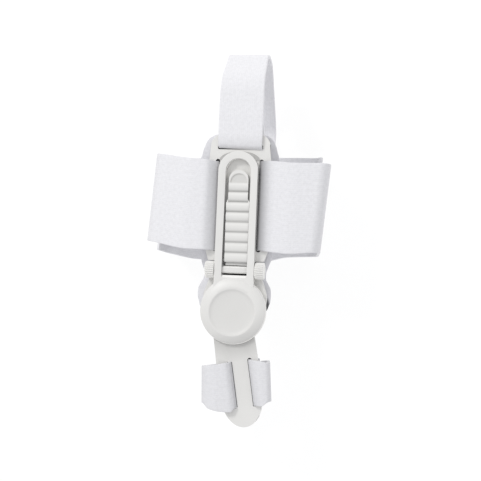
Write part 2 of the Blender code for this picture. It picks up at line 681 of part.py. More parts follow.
def make_housing(parts, cutters, parent):
    low, high = HOUSING_TOP - HOUSING_THICKNESS, HOUSING_TOP
    cheek_y = HOUSING_HEAD_Y * 0.5
    right = [
        (HOUSING_CHEEK_HALF_WIDTH, cheek_y),
        (HOUSING_SHOULDER_HALF_WIDTH + 0.0004, HOUSING_HEAD_Y - 0.0006),
        (HOUSING_SHOULDER_HALF_WIDTH - 0.0004, HOUSING_HEAD_Y)]
    left = [(-x, y) for x, y in reversed(right)]
    outline = right + left + arc((0, 0), HOUSING_RADIUS, 180, 360, 28)
    bore = arc((0, 0), PIN_RADIUS + BORE_PLAY, 0, 345, 23)
    mesh = flat_solid("hinge_housing", [outline, bore], low, high)
    item = add_object("hinge_housing", mesh, parts, PLASTIC, parent)
    opening = lever_sector_deg() + 1.5
    start, end = -90 + opening, 270 - opening
    count = 26
    wall = arc((0, 0), HOUSING_RADIUS, start, end, count)
    wall += arc((0, 0), HOUSING_RADIUS - HOUSING_WALL, end, start, count)
    bite = HOUSING_THICKNESS / 2
    rim = flat_solid("housing_rim_form", [wall], high - bite, KNOB_UNDERSIDE - GAP)
    boolean(item, add_cutter("housing_rim", rim, cutters, parent), "UNION")
    return item


def lever_sector_deg():
    """Half the angle that the swinging lever needs in the wall of the housing."""
    half_neck = LEVER_HALF_WIDTH + abs(LEVER_SHIFT) + GAP
    return math.degrees(math.asin(half_neck / (HOUSING_RADIUS - HOUSING_WALL))) + LEVER_SWING_DEG


def make_hinge_pin(parts, parent):
    low = HOUSING_TOP - HOUSING_THICKNESS
    high = KNOB_UNDERSIDE - GAP
    mesh = cylinder_mesh("hinge_pin", PIN_RADIUS, high - low, 24, centre=(0, 0, (low + high) / 2))
    return add_object("hinge_pin", mesh, parts, PLASTIC, parent)


def lever_outline():
    half = LEVER_HALF_WIDTH
    tip_y = -(LEVER_LENGTH - LEVER_TIP_LENGTH)
    root_deg = math.degrees(math.asin(half / LEVER_ROOT_RADIUS))
    root = arc((0, 0), LEVER_ROOT_RADIUS, -90 + root_deg, 270 - root_deg, 30)
    waist_y = -KNOB_RADIUS * 1.08
    left = [(-half * LEVER_WAIST_SHARE, waist_y), (-half, -KNOB_RADIUS * 1.45), (-half, tip_y)]
    tip = []
    for i in range(1, 16):
        angle = math.pi + math.pi * i / 16
        tip.append((half * math.cos(angle), tip_y + LEVER_TIP_LENGTH * math.sin(angle)))
    right = [(-x, y) for x, y in reversed(left)]
    return root + [(x + LEVER_SHIFT, y) for x, y in left + tip + right]


def make_toe_lever(parts, parent):
    holes = [
        slot_outline(side * TOE_SLOT_X, TOE_SLOT_Y, TOE_SLOT_WIDTH, TOE_SLOT_LENGTH)
        for side in (-1, 1)]
    holes.append(arc((0, 0), PIN_RADIUS + BORE_PLAY, 0, 345, 23))
    mesh = flat_solid("toe_lever", [lever_outline()] + holes, LEVER_UNDERSIDE, LEVER_TOP)
    item = add_object("toe_lever", mesh, parts, PLASTIC, parent)
    bevel(item, 0.0003)
    return item


def make_pad(parts, parent):
    foot = -PAD_FOOT_DROP
    length = PAD_HEAD_Y - foot
    middle = PAD_TOP - PAD_THICKNESS / 2
    power = 2 / PAD_SQUARENESS
    count = 20
    rings = []
    for section in PAD_ROWS:
        y = foot + length * section["along"]
        half_width = PAD_HALF_WIDTH * section["width"]
        half_thick = PAD_THICKNESS / 2 * section["thick"]
        ring = []
        for i in range(count):
            angle = math.tau * i / count
            c, s = math.cos(angle), math.sin(angle)
            x = half_width * math.copysign(abs(c) ** power, c)
            z = half_thick * math.copysign(abs(s) ** power, s)
            ring.append(Vector((PAD_SHIFT + x, y, middle + z)))
        rings.append(ring)
    return add_object("pad", loft_mesh("pad", rings), parts, COVER_CLOTH, parent)


def make_heel_strap(parts, parent):
    bend = SIDE_SLOT_WIDTH / 2
    floor = -LOOP_DEPTH + HALF_STRAP
    on_midfoot = floor + 2 * LAP
    head = PLATE_HEAD_Y
    reach = HEEL_LOOP_REACH
    tail_front = STRAP_ON_FRONT - LAP
    lap_edge = MIDFOOT_Y + MIDFOOT_STRAP_WIDTH * (0.5 + MIDFOOT_TAIL_SHIFT["left"]) + 0.005
    rows = [
        row("tail_end", head + HEEL_TAIL, tail_front, 0),
        row("tail_lift", head + 0.0068, tail_front, 0.004),
        row("tail_low", head + 0.0013, STRAP_BEHIND_PLATE, 0.004),
        row("slot_back", HEEL_SLOT_Y, STRAP_BEHIND_PLATE, bend),
        row("slot_front", HEEL_SLOT_Y, STRAP_ON_FRONT, bend),
        row("shoulder", head + reach * 0.65, STRAP_ON_FRONT, 0.020),
        row("crown", head + reach * 1.045, -LOOP_DEPTH * 0.33, 0.010),
        row("crown_back", head + reach * 0.955, -LOOP_DEPTH * 0.55, 0.010),
        row("floor", lap_edge + 0.0085, floor, 0.010),
        row("climb", lap_edge, on_midfoot, 0.004),
        row("lap_end", lap_edge - HEEL_END_LAP, on_midfoot, 0)]

    def ruling(station):
        y, height = station["place"]
        half = HEEL_STRAP_WIDTH / 2
        return Vector((-half, y, height)), Vector((half, y, height))

    return strap_object("heel_strap", bend_path(rows), ruling, parts, parent)


def make_midfoot_strap(parts, parent):
    shape = {
        "depth": LOOP_DEPTH, "lean": MIDFOOT_LEAN_DEG, "tail_width": 1.0,
        "outer_run": MIDFOOT_OUTER_RUN,
        "left": {
            "reach": LOOP_REACH_LEFT, "low_reach": LOW_REACH_LEFT, "radius": LOOP_RADIUS_LEFT,
            "front": MIDFOOT_FRONT_LEFT, "wrap": TAIL_WRAP_LEFT_DEG,
            "slot": MIDFOOT_SLOT_SHIFT["left"], "tail": MIDFOOT_TAIL_SHIFT["left"]},
        "right": {
            "reach": LOOP_REACH_RIGHT, "low_reach": LOW_REACH_RIGHT, "radius": LOOP_RADIUS_RIGHT,
            "front": MIDFOOT_FRONT_RIGHT, "wrap": TAIL_WRAP_RIGHT_DEG,
            "slot": MIDFOOT_SLOT_SHIFT["right"], "tail": MIDFOOT_TAIL_SHIFT["right"]}}
    rows = lapped_rows(SIDE_SLOT_X, SIDE_SLOT_WIDTH, STRAP_ON_FRONT, STRAP_BEHIND_PLATE, shape)
    return lapped_strap("midfoot_strap", MIDFOOT_STRAP_WIDTH, MIDFOOT_Y, rows, parts, parent)


def make_toe_strap(parts, parent):
    shape = {
        "depth": TOE_LOOP_DEPTH, "lean": TOE_LEAN_DEG, "tail_width": 0.88,
        "left": {
            "reach": TOE_REACH_LEFT, "low_reach": TOE_LOW_REACH_LEFT, "radius": TOE_RADIUS_LEFT,
            "front": TOE_FRONT_LEFT, "wrap": TOE_TAIL_WRAP_DEG, "slot": 0.0, "tail": TOE_TAIL_SHIFT},
        "right": {
            "reach": TOE_REACH_RIGHT, "low_reach": TOE_LOW_REACH_RIGHT, "radius": TOE_RADIUS_RIGHT,
            "front": TOE_FRONT_RIGHT, "wrap": TOE_TAIL_WRAP_DEG, "slot": 0.0, "tail": TOE_TAIL_SHIFT}}
    front = LEVER_TOP + GAP + HALF_STRAP
    behind = LEVER_UNDERSIDE - GAP - HALF_STRAP
    rows = lapped_rows(TOE_SLOT_X, TOE_SLOT_WIDTH, front, behind, shape)
    return lapped_strap("toe_strap", TOE_STRAP_WIDTH, TOE_SLOT_Y, rows, parts, parent)


def put_origin_under(parts, root):
    """Move the whole so that the origin is the middle of the underside of its box."""
    bpy.context.view_layer.update()
    graph = bpy.context.evaluated_depsgraph_get()
    corners = []
    for item in parts.objects:
        if item.type == "MESH":
            seen = item.evaluated_get(graph)
            corners += [item.matrix_world @ vert.co for vert in seen.data.vertices]
    low = [min(c[i] for c in corners) for i in range(3)]
    high = [max(c[i] for c in corners) for i in range(3)]
    root.location = (-(low[0] + high[0]) / 2, -(low[1] + high[1]) / 2, -low[2])


def main():
    clear_scene()
    parts = collection("bunion_corrector")
    cutters = collection("cutters")
    root = bpy.data.objects.new("splint_frame", None)
    parts.objects.link(root)
    hinge = bpy.data.objects.new("toe_hinge", None)
    parts.objects.link(hinge)
    hinge.parent = root
    hinge.rotation_euler = (0, 0, math.radians(LEVER_REST_DEG))
    make_base_plate(parts, root)
    make_cover_frame(parts, cutters, root)
    make_ladder(parts, cutters, root)
    make_thumb_axle(parts, root)
    make_housing(parts, cutters, root)
    make_hinge_pin(parts, root)
    make_toe_lever(parts, hinge)
    make_pad(parts, root)
    make_heel_strap(parts, root)
    make_midfoot_strap(parts, root)
    make_toe_strap(parts, hinge)
    put_origin_under(parts, root)


main()
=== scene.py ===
"""Bunion corrector lying on its back: hinged splint, ratchet ladder, pad and three elastic straps.

Pieces are modelled round the hinge axis of the toe lever, with the front face of the base plate
at height 0, +Y towards the heel, and are then put in their place in the frame.
"""

import math

import bmesh
import bpy
from mathutils import Matrix, Vector


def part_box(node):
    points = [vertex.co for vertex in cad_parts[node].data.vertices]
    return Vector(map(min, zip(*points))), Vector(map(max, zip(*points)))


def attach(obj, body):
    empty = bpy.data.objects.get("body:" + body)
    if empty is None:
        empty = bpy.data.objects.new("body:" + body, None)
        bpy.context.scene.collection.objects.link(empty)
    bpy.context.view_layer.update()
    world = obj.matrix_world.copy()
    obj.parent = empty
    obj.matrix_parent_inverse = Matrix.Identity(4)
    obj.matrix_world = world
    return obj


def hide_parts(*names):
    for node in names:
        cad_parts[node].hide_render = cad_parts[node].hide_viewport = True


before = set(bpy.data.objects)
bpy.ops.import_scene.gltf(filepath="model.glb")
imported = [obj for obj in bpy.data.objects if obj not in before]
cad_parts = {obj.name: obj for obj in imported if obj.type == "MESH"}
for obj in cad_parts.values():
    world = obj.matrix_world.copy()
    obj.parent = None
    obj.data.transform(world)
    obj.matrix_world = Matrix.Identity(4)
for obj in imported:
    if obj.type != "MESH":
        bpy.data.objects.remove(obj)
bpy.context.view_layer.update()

bl_info = {
    "name": "Bunion corrector",
    "version": (1, 0, 0),
    "blender": (4, 5, 0),
    "location": "3D View > Sidebar > Splint",
    "description": "Builds a hinged toe splint with its pad and elastic straps",
    "category": "Object",
}

# Places read from the frame
PIN_LOW, PIN_HIGH = (Vector(corner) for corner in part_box("hinge_pin"))
PLATE_LOW, PLATE_HIGH = (Vector(corner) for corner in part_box("base_plate"))
ORIGIN = Vector(((PIN_LOW.x + PIN_HIGH.x) / 2, (PIN_LOW.y + PIN_HIGH.y) / 2, PLATE_HIGH.z))


def table(columns, *rows):
    """Rows of a table as dictionaries with named columns; a short row leaves out the last ones."""
    return [dict(zip(columns.split(), row)) for row in rows]


# Modelling: reach of cutters that go right through, reaches of the tests for an end, a wall and a place,
# share of a half width that a round end takes, and the widest face that counts as a rounded edge
THROUGH = 0.02
NEAR = 0.001
CLOSE = 0.0001
TOUCH = 1e-5
ROUND_END = 0.995
EDGE_FACE_WIDTH = 0.00045

# Painted light given to the mouldings: below 0 towards a painted highlight, up to 1 for full painted shadow
PAINTED_HIGHLIGHT = -1.0
PAINTED_GAP_SHADE = 0.97
PAINTED_WALL_SHADE = 0.95
SMALL_EDGE = 0.0003

# Fits
GAP = 0.0003
BORE_PLAY = 0.0003
SLOT_SIDE_PLAY = 0.0006
TOE_SLOT_SIDE_PLAY = 0.00035
SLOT_END_PLAY = 0.0004
SIDE_SLOT_END_PLAY = 0.00135
TOE_SLOT_END_PLAY = 0.00105

# Straps
STRAP_THICKNESS = 0.0018
STRAP_EDGE = 0.00045
STRAP_STEP = 0.0022
HALF_STRAP = STRAP_THICKNESS / 2
LAP = STRAP_THICKNESS + GAP
HEEL_STRAP_WIDTH = 0.025
MIDFOOT_STRAP_WIDTH = 0.050
TOE_STRAP_WIDTH = 0.0254
SIDE_SLOT_WIDTH = STRAP_THICKNESS + 2 * SLOT_SIDE_PLAY
TOE_SLOT_WIDTH = STRAP_THICKNESS + 2 * TOE_SLOT_SIDE_PLAY

# Knob cover and ring frame: a shade is a strength, and its from, drop or reach says where it fades
KNOB_RADIUS = 0.0187
KNOB_UNDERSIDE = 0.0012
KNOB_SIDES = 128
KNOB_FLANGE = 0.00030
DISH_RADIUS = 0.0128
DISH_SHADE = 0.07
RIM_SHADE_LEFT = 0.07
RIM_SHADE_FOOT = 0.14
RIM_SHADE_FROM = 0.006
KNOB_BASE = 0.0005
FLANGE_HEIGHT = 0.0007
RING_FOOT_SHARE = 0.55
WALL_SHADE_FOOT = 0.1
WALL_SHADE_FROM = 0.004
WINDOW_SHADE_DROP = 0.0016
RING_HALF_WIDTH = 0.0112
RING_RIM = 0.00405
RING_HEIGHT = 0.0040
# Thin sheet round the ring's foot, there only to carry a painted shadow on the plate: its width and the
# painted shadow's strength
SHADOW_SHEET = 0.00028
SHADOW_SHEET_STRENGTH = 0.42
FUNNEL_RIM = 0.00026
FUNNEL_WIDTH = 0.0050
FUNNEL_DEPTH = 0.0007
WINDOW_HALF_WIDTH = RING_HALF_WIDTH - RING_RIM
WINDOW_CORNER = 0.0012
WINDOW_FOOT_Y = 0.0183
LEDGE_LENGTH = 0.0013
LEDGE_DROP = 0.0011

# Toe lever and its hinge
LEVER_THICKNESS = 0.0022
LEVER_TOP = 0.0009
LEVER_UNDERSIDE = LEVER_TOP - LEVER_THICKNESS
LEVER_ROOT_RADIUS = 0.0149
LEVER_HALF_WIDTH = 0.01175
LEVER_SHIFT = -0.0016
LEVER_LENGTH = 0.0645
LEVER_TIP_LENGTH = 0.0175
LEVER_REST_DEG = 9.8
LEVER_ROOT_Y = -0.0080
LEVER_WAIST = 0.955
LEVER_WAIST_AT = 1.45
LEVER_SHADE = 0.44
LEVER_SHADE_REACH = 0.011
# Webs that close the toe slots' ends, and the height of the one that is only a low sheet carrying a painted
# shadow
WEB_LENGTH = 0.0010
SHADOW_WEB_HEIGHT = 0.0003
TOE_SLOT_X = 0.0044 + TOE_SLOT_WIDTH / 2
TOE_SLOT_LENGTH = TOE_STRAP_WIDTH + 2 * TOE_SLOT_END_PLAY
TOE_SLOT_Y = -(LEVER_LENGTH - 0.0100 - TOE_SLOT_LENGTH / 2)
HOUSING_THICKNESS = 0.0030
HOUSING_TOP = LEVER_UNDERSIDE - GAP
HOUSING_RADIUS = 0.0176
HOUSING_WALL = 0.0020
HOUSING_HEAD_INSET = 0.0007
WALL_ROOT = 0.0015
CHEEK_HEAD_ROUND = 0.0007
CHEEK_SIDE_ROUND = 0.0014
CHEEK_HALF_WIDTH = 0.0180
CHEEK_HEAD_HALF_WIDTH = 0.0148
CHEEK_FOOT_HALF_WIDTH = 0.0172
WALL_END_LEFT = -0.0015
WALL_END_RIGHT = -0.0037
# Thin tray under the axle's slit, there to carry a painted shadow: its size and where the painted shadow
# fades
SHADOW_TRAY_HALF_WIDTH = 0.0078
SHADOW_TRAY_HEAD_Y = 0.0272
SHADOW_TRAY_THICKNESS = 0.0004
SHADOW_TRAY_FADE = 0.0004
UNDER_KNOB_SHADE = 0.5
PIN_EDGE = 0.0004
PIN_RADIUS = (PIN_HIGH.x - PIN_LOW.x) / 2

# Thumb axle
WHEEL_RADIUS = 0.00475
WHEEL_LENGTH = 0.0051
KNURL_COUNT = 24
KNURL_DEPTH = 0.00042
AXLE_BAR_RADIUS = 0.0018
AXLE_HEIGHT = 0.0010
AXLE_Y = 0.022503
BAR_END_PLAY = 0.00015
BAR_SHIFT = 0.0002
BAR_FLAT = 0.0015
BAR_STRETCH = 1.16
WHEEL_DISH = 0.0015
WHEEL_HOLLOW = 0.0004
HAIR = 0.00005
KNURL_SHADE = 0.18

# Base plate
PLATE_THICKNESS = PLATE_HIGH.z - PLATE_LOW.z
PLATE_HALF_WIDTH = 0.01745
PLATE_FOOT_HALF_WIDTH = 0.0158
PLATE_HEAD_HALF_WIDTH = 0.0162
PLATE_FLARE = 0.0053
BED_DEPTH = 0.00035
BED_PLAY = 0.0004
HEEL_SLOT_SILL = 0.00035
PLATE_FOOT_Y = PLATE_LOW.y - ORIGIN.y
PLATE_HEAD_Y = PLATE_HIGH.y - ORIGIN.y
SIDE_SLOT_LENGTH = MIDFOOT_STRAP_WIDTH + 2 * SIDE_SLOT_END_PLAY
SIDE_SLOT_FOOT_Y = PLATE_FOOT_Y + 0.0048
SIDE_SLOT_HEAD_Y = SIDE_SLOT_FOOT_Y + SIDE_SLOT_LENGTH
SIDE_SLOT_X = RING_HALF_WIDTH - 0.0002 + SIDE_SLOT_WIDTH / 2
MIDFOOT_Y = (SIDE_SLOT_FOOT_Y + SIDE_SLOT_HEAD_Y) / 2
HEEL_SLOT_FOOT_Y = SIDE_SLOT_HEAD_Y + 0.0047
HEEL_SLOT_HEAD_Y = HEEL_SLOT_FOOT_Y + SIDE_SLOT_WIDTH
HEEL_SLOT_Y = (HEEL_SLOT_FOOT_Y + HEEL_SLOT_HEAD_Y) / 2
RING_HEAD_Y = HEEL_SLOT_FOOT_Y - 0.0010
WINDOW_HEAD_Y = RING_HEAD_Y - RING_RIM

# Ratchet ladder
LADDER_HALF_WIDTH = 0.0066
LADDER_TONGUE_HALF_WIDTH = 0.00555
LADDER_THICKNESS = 0.0028
LADDER_HEAD_Y = WINDOW_HEAD_Y - 0.0064
LADDER_FOOT_Y = PLATE_FOOT_Y - GAP
LOUVRE_PITCH = 0.00567
FIRST_GROOVE = 0.00490
POCKET_LENGTH = 0.0062
POCKET_RIM = 0.0009
POCKET_TIP = 0.0019
POCKET_DEPTH = 0.0009
POCKET_SHADE = 0.14
POCKET_SHADE_DROP = 0.0006
LIP_LEFT_PLAY = 0.0006
LIP_RIGHT_PLAY = 0.0002
LIP_FROM_AXLE = 0.0027
LIP_LAP = 0.0008
LIP_DROP = 0.0014
LIP_SHADE = 0.12
SHOULDER_SHARE = 0.655
SHOULDER_SLOPE = 1.6
SHOULDER_ROUND = 0.0010
LADDER_FOOT_PLAY = 0.0005
LADDER_SIDE_SHADE = 0.9
LADDER_SIDE_DROP = 0.0012
LADDER_TAPER = 0.03
LADDER_SHIFT = 0.00032
LOUVRE_COUNT = 8
DEEP_LOUVRES = 4

# Pad
PAD_HALF_WIDTH = 0.0225
PAD_SHIFT = -0.0014
PAD_THICKNESS = 0.0055
PAD_TOP = -0.0049
PAD_FOOT_Y = -0.0100
PAD_HEAD_Y = PLATE_HEAD_Y + 0.0018
PAD_COLUMNS = 30
PAD_LINES = 72
PAD_SIDE_PLAY = 0.0004
PAD_END_PLAY = 0.0003
PAD_GRAIN = 0.0016
PAD_EDGE_THINNING = 0.62
PAD_EDGE_POWER = 9
PAD_PRESSURE = 4.0
PAD_SWELL_FRAMES = 20
PAD_SIDE_SWELL = 0.3
PAD_SHADE = 0.72
PAD_SHADE_WAIST = 0.0020
PAD_SHADE_SIDES = (0.0012, 0.0034)
PAD_SHADE_HEAD = (0.0010, 0.0030)
KNOB_ON_PAD_SHADE = 0.9
KNOB_ON_PAD_REACH = (0.0012, 0.0002)

# Loops, from the hinge axis and down from the front face of the base plate
LOOP_DEPTH = 0.0500
HEEL_LOOP_REACH = 0.0474
HEEL_SLOT_LEAN_DEG = -2.2
HEEL_TAIL = 0.0128
HEEL_END_LAP = 0.0440
HEEL_LAP_PLAY = 0.005
HEEL_SLOT_SHADE = 0.16
HEEL_SHADE_REACH = 0.007
STRAP_ON_FRONT = GAP + HALF_STRAP
STRAP_BEHIND_PLATE = -(PLATE_THICKNESS + GAP + HALF_STRAP)

# Knob cover from its side wall inwards: how far each ring insets, rises and shifts along Y
KNOB_RINGS = table(
    "inset rise shift",
    (KNOB_FLANGE, 0.00004, 0.00015), (0.00003, 0.00140), (0.00014, 0.00024),
    (0.00036, 0.00032), (0.00065, 0.00046), (0.00100, 0.00058),
    (0.00110, 0.00050, -0.0002), (0.00095, 0.00028, -0.0004), (0.00070, 0.00018, -0.0004),
    (0.00042, 0.00004, -0.0002), (0.00024, -0.00006), (0.00035, -0.00022),
    (0.00045, -0.00034), (0.00070, -0.00024), (0.00080, -0.00014),
    (0.00120, -0.00014), (0.00200, -0.00015), (0.00240, -0.00010),
    (0.00250, -0.00005))

# Louvre along its pitch, from one groove to the next towards the toe: drop below its crest, shade (painted
# shade, and below 0 a painted highlight)
LOUVRE_ROWS = table(
    "along drop shade",
    (0.00, 0.00090, 0.50), (0.06, 0.00066, 0.34), (0.17, 0.00022, 0.00), (0.30, 0.00005, -0.25),
    (0.45, 0.00000, -0.05), (0.62, 0.00012, 0.02), (0.80, 0.00036, 0.06), (0.92, 0.00070, 0.26))

# Rounding of the plate's corners, at their places along it
PLATE_CORNERS = table(
    "y radius segments",
    (PLATE_HEAD_Y, 0.0060, 12), (PLATE_FOOT_Y, 0.0005, 4), (PLATE_FOOT_Y + PLATE_FLARE, 0.0006, 4),
    (SIDE_SLOT_HEAD_Y, 0.0008, 5))

# Outline of the pad, from its foot to its head, as shares
PAD_ROWS = table(
    "along width",
    (0.000, 0.20), (0.012, 0.42), (0.045, 0.65), (0.090, 0.82), (0.140, 0.915), (0.183, 0.94),
    (0.215, 0.91), (0.248, 0.82), (0.285, 0.82), (0.340, 0.90), (0.395, 0.94), (0.620, 0.97),
    (0.850, 1.00), (0.905, 0.94), (0.945, 0.87), (0.972, 0.77), (0.990, 0.60), (1.000, 0.34))

# Bends of the looped straps outside their slots: place as a share of the reach, height as a share of
# the depth, bend radius as a share of the reach, shift along the fold as a share of the width, lean
FOLD_COLUMNS = "side height bend shift lean width"
MIDFOOT_LOOP = {
    "depth": LOOP_DEPTH, "lean": -4.0, "tail_width": 1.0,
    "outer_run": table("side shift", (0.0240, -0.030), (0.0110, -0.086), (-0.0300, -0.088)),
    "left": {
        "reach": 0.0501, "low_reach": 0.0560, "radius": 0.0140, "wrap": 65.0,
        "slot": -0.012, "tail": 0.169,
        "front": table(
            FOLD_COLUMNS,
            (0.37, 0.080, 0.15, -0.004, 0.25, 1.01),
            (0.56, 0.092, 0.50, 0.003, 0.55, 1.02),
            (1.00, 0.030, 0.10, 0.066, 1.0))},
    "right": {
        "reach": 0.0496, "low_reach": 0.0425, "radius": 0.0120, "wrap": 54.0,
        "slot": 0.001, "tail": -0.030,
        "front": table(
            FOLD_COLUMNS,
            (0.37, 0.062, 0.15, -0.006, 0.25, 1.01),
            (0.62, 0.070, 0.50, -0.022, 0.60, 1.01),
            (1.00, 0.012, 0.12, -0.006, 1.25))},
}
TOE_REACH_RIGHT = LEVER_HALF_WIDTH + LEVER_SHIFT + 0.0043 + STRAP_THICKNESS
TOE_LOOP = {
    "depth": 0.0320, "lean": -6.0, "tail_width": 0.88,
    "left": {
        "reach": 0.0234, "low_reach": 0.0262, "radius": 0.0105, "wrap": 30.0, "slot": 0.0, "tail": 0.04,
        "front": table(
            FOLD_COLUMNS,
            (0.36, 0.100, 0.20, -0.035, 0.15, 1.07),
            (0.64, 0.118, 0.30, -0.018, 0.50, 1.01),
            (0.86, 0.095, 0.25, 0.028, 0.90, 0.94),
            (1.00, 0.045, 0.12, 0.096, 1.25, 0.82))},
    "right": {
        "reach": TOE_REACH_RIGHT, "low_reach": 0.0105, "radius": 0.0085, "wrap": 30.0,
        "slot": 0.0, "tail": -0.06,
        "front": table(
            FOLD_COLUMNS,
            (0.66, 0.108, 0.20, -0.032, 0.40, 0.98),
            (1.00, 0.085, 0.14, -0.024, 0.90, 0.85))},
}

# Camera, from the photograph's perspective
CAMERA_TARGET = ORIGIN + Vector((0.0030, 0.0390, 0.0040))
CAMERA_BACK = Vector((0.182, -0.050, 0.982)).normalized()
CAMERA_ROLL = math.radians(2.45)

# Studio: its floor just below the loops, and its lights with their place, size and colour
FLOOR_SIZE = 6.0
FLOOR_HEIGHT = -0.0002
FLOOR_GREY = (0.18, 0.18, 0.18, 1)
FLOOR_GLOW = 0.85
SURROUND_COLOUR = (0.98, 0.985, 1.0, 1)
LIGHTS = {
    "key_light": ((-0.75, 0.88, 1.12), 0.45, (1.0, 0.995, 0.98)),
    "fill_light": ((0.9, -0.5, 0.9), 1.1, (0.97, 0.98, 1.0)),
}


# Modelling helpers


def alone(item):
    bpy.ops.object.select_all(action="DESELECT")
    item.select_set(True)
    bpy.context.view_layer.objects.active = item


def added(name):
    item = bpy.context.active_object
    item.name = name
    item.data.name = name
    return item


def block(name, low, high):
    """Cube between two corners."""
    bpy.ops.object.select_all(action="DESELECT")
    middle = [(a + b) / 2 for a, b in zip(low, high)]
    bpy.ops.mesh.primitive_cube_add(size=1, location=middle)
    item = added(name)
    item.scale = [b - a for a, b in zip(low, high)]
    bpy.ops.object.transform_apply(location=True, rotation=True, scale=True)
    return item


def drum(name, radius, low, high, sides, centre=(0, 0), along="Z"):
    """Cylinder along one axis between two places on it."""
    bpy.ops.object.select_all(action="DESELECT")
    middle = (low + high) / 2
    if along == "Z":
        place, turn = (centre[0], centre[1], middle), (0, 0, 0)
    else:
        place, turn = (middle, centre[0], centre[1]), (0, math.pi / 2, 0)
    bpy.ops.mesh.primitive_cylinder_add(
        vertices=sides, radius=radius, depth=high - low, location=place, rotation=turn)
    item = added(name)
    bpy.ops.object.transform_apply(location=True, rotation=True, scale=True)
    return item


def edit(item, kind):
    alone(item)
    bpy.ops.object.mode_set(mode="EDIT")
    bpy.ops.mesh.select_mode(type=kind)


def leave_edit():
    bpy.ops.object.mode_set(mode="OBJECT")


def pick(item, kind, test):
    """Select the edit mesh's verts, edges or faces that pass a test."""
    bpy.ops.mesh.select_all(action="DESELECT")
    work = bmesh.from_edit_mesh(item.data)
    for part in getattr(work, kind):
        if test(part):
            part.select_set(True)
    bmesh.update_edit_mesh(item.data)


def upright(edge, centre_test):
    """True for an upright edge whose middle passes a test of its place."""
    a, b = (vert.co for vert in edge.verts)
    return abs(a.x - b.x) + abs(a.y - b.y) < 1e-7 and centre_test((a + b) / 2)


def round_corners(item, centre_test, radius, segments):
    """Bevel the upright edges that pass a test, to make rounded corners of an outline."""
    edit(item, "EDGE")
    pick(item, "edges", lambda edge: upright(edge, centre_test))
    bpy.ops.mesh.bevel(offset=radius, offset_type="OFFSET", segments=segments, affect="EDGES")
    leave_edit()


def bisect_at(item, y):
    edit(item, "VERT")
    bpy.ops.mesh.select_all(action="SELECT")
    bpy.ops.mesh.bisect(plane_co=(0, y, 0), plane_no=(0, 1, 0))
    leave_edit()


def widen(item, test, factor, axis=0):
    """Scale the vertices that pass a test, from their middle."""
    edit(item, "VERT")
    pick(item, "verts", lambda vert: test(vert.co))
    value = [1.0, 1.0, 1.0]
    value[axis] = factor
    bpy.ops.transform.resize(value=value)
    leave_edit()


def applied(item, kind, **settings):
    """Give a piece a modifier and apply it."""
    alone(item)
    change = item.modifiers.new(kind.lower(), kind)
    for key, value in settings.items():
        setattr(change, key, value)
    bpy.ops.object.modifier_apply(modifier=change.name)


def combine(item, other, operation="DIFFERENCE", solver="EXACT"):
    """Cut another solid from a piece, or weld it on, and remove the other."""
    applied(item, "BOOLEAN", operation=operation, object=other, solver=solver)
    bpy.data.objects.remove(other)


def soften(item, width, segments=2, angle_deg=40):
    """Round a moulding's sharp edges."""
    applied(
        item, "BEVEL", width=width, segments=segments, limit_method="ANGLE",
        angle_limit=math.radians(angle_deg))


def smooth(item, angle_deg=35, weigh=True):
    alone(item)
    bpy.ops.object.shade_smooth_by_angle(angle=math.radians(angle_deg))
    if weigh:
        applied(item, "WEIGHTED_NORMAL", keep_sharp=True)


def settle(item, turn_deg=0.0):
    """Put a piece that was modelled round the hinge axis in its place in the frame."""
    alone(item)
    item.matrix_world = Matrix.Translation(ORIGIN) @ Matrix.Rotation(math.radians(turn_deg), 4, "Z")
    bpy.ops.object.transform_apply(location=True, rotation=True, scale=True)


def mark(item, name, value_of):
    """Store a value on each face corner, worked out from its place and its face."""
    mesh = item.data
    values = mesh.attributes.new(name, "FLOAT", "CORNER").data
    for face in mesh.polygons:
        for k in face.loop_indices:
            values[k].value = value_of(mesh.vertices[mesh.loops[k].vertex_index].co, face)


def ramp(value, low, high):
    """Share from 0 at one value to 1 at another."""
    return min(max((value - low) / (high - low), 0.0), 1.0)


def painted_highlight_edges(item):
    """Test of the narrow faces that round a moulding's top edges, where a painted highlight goes."""
    verts = item.data.vertices

    def is_edge(face):
        corners = [verts[k].co for k in face.vertices]
        least = min((a - b).length for a, b in zip(corners, corners[1:] + corners[:1]))
        return 0.2 < face.normal.z < 0.97 and least < EDGE_FACE_WIDTH
    return is_edge


def dress(item, finish, body, *nodes):
    """Give a finished piece its material and its body, and hide the CAD nodes that it stands for."""
    item.data.materials.clear()
    item.data.materials.append(finish)
    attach(item, body)
    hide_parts(*nodes)


def deliver(item, finish, body, node, depth=None, angle_deg=35, weigh=True, turn_deg=0.0):
    """Mark a finished piece's painted shade and painted highlight, smooth and place it, and hide the CAD
    node that it stands for.
    """
    # depth works out each face corner's painted shade and painted highlight
    if depth:
        mark(item, "recess", depth)
    smooth(item, angle_deg, weigh)
    settle(item, turn_deg)
    dress(item, finish_named(finish), body, node)


def slot_cutter(name, x, y, width, length):
    """Cutter of a long hole along Y with round ends."""
    cutter = block(
        name, (x - width / 2, y - length / 2, -THROUGH), (x + width / 2, y + length / 2, THROUGH))
    round_corners(cutter, lambda place: True, width * 0.49, 8)
    return cutter


# Paths of straps


def turn_points(here, back, ahead, radius, step_deg=7.0):
    """Points of the round at one bend of a path."""
    turn = math.pi - back.angle(ahead)
    if radius <= 0 or turn < 1e-4:
        return [here]
    taken = min(radius * math.tan(turn / 2), 0.49 * back.length, 0.49 * ahead.length)
    radius = taken / math.tan(turn / 2)
    centre = here + (back.normalized() + ahead.normalized()).normalized() * math.hypot(radius, taken)
    arm = here + back.normalized() * taken - centre
    side = 1 if back.x * ahead.y - back.y * ahead.x < 0 else -1
    step = min(math.radians(step_deg), STRAP_STEP / radius)
    count = max(2, math.ceil(turn / step))
    return [centre + Matrix.Rotation(side * turn * i / count, 2) @ arm for i in range(count + 1)]


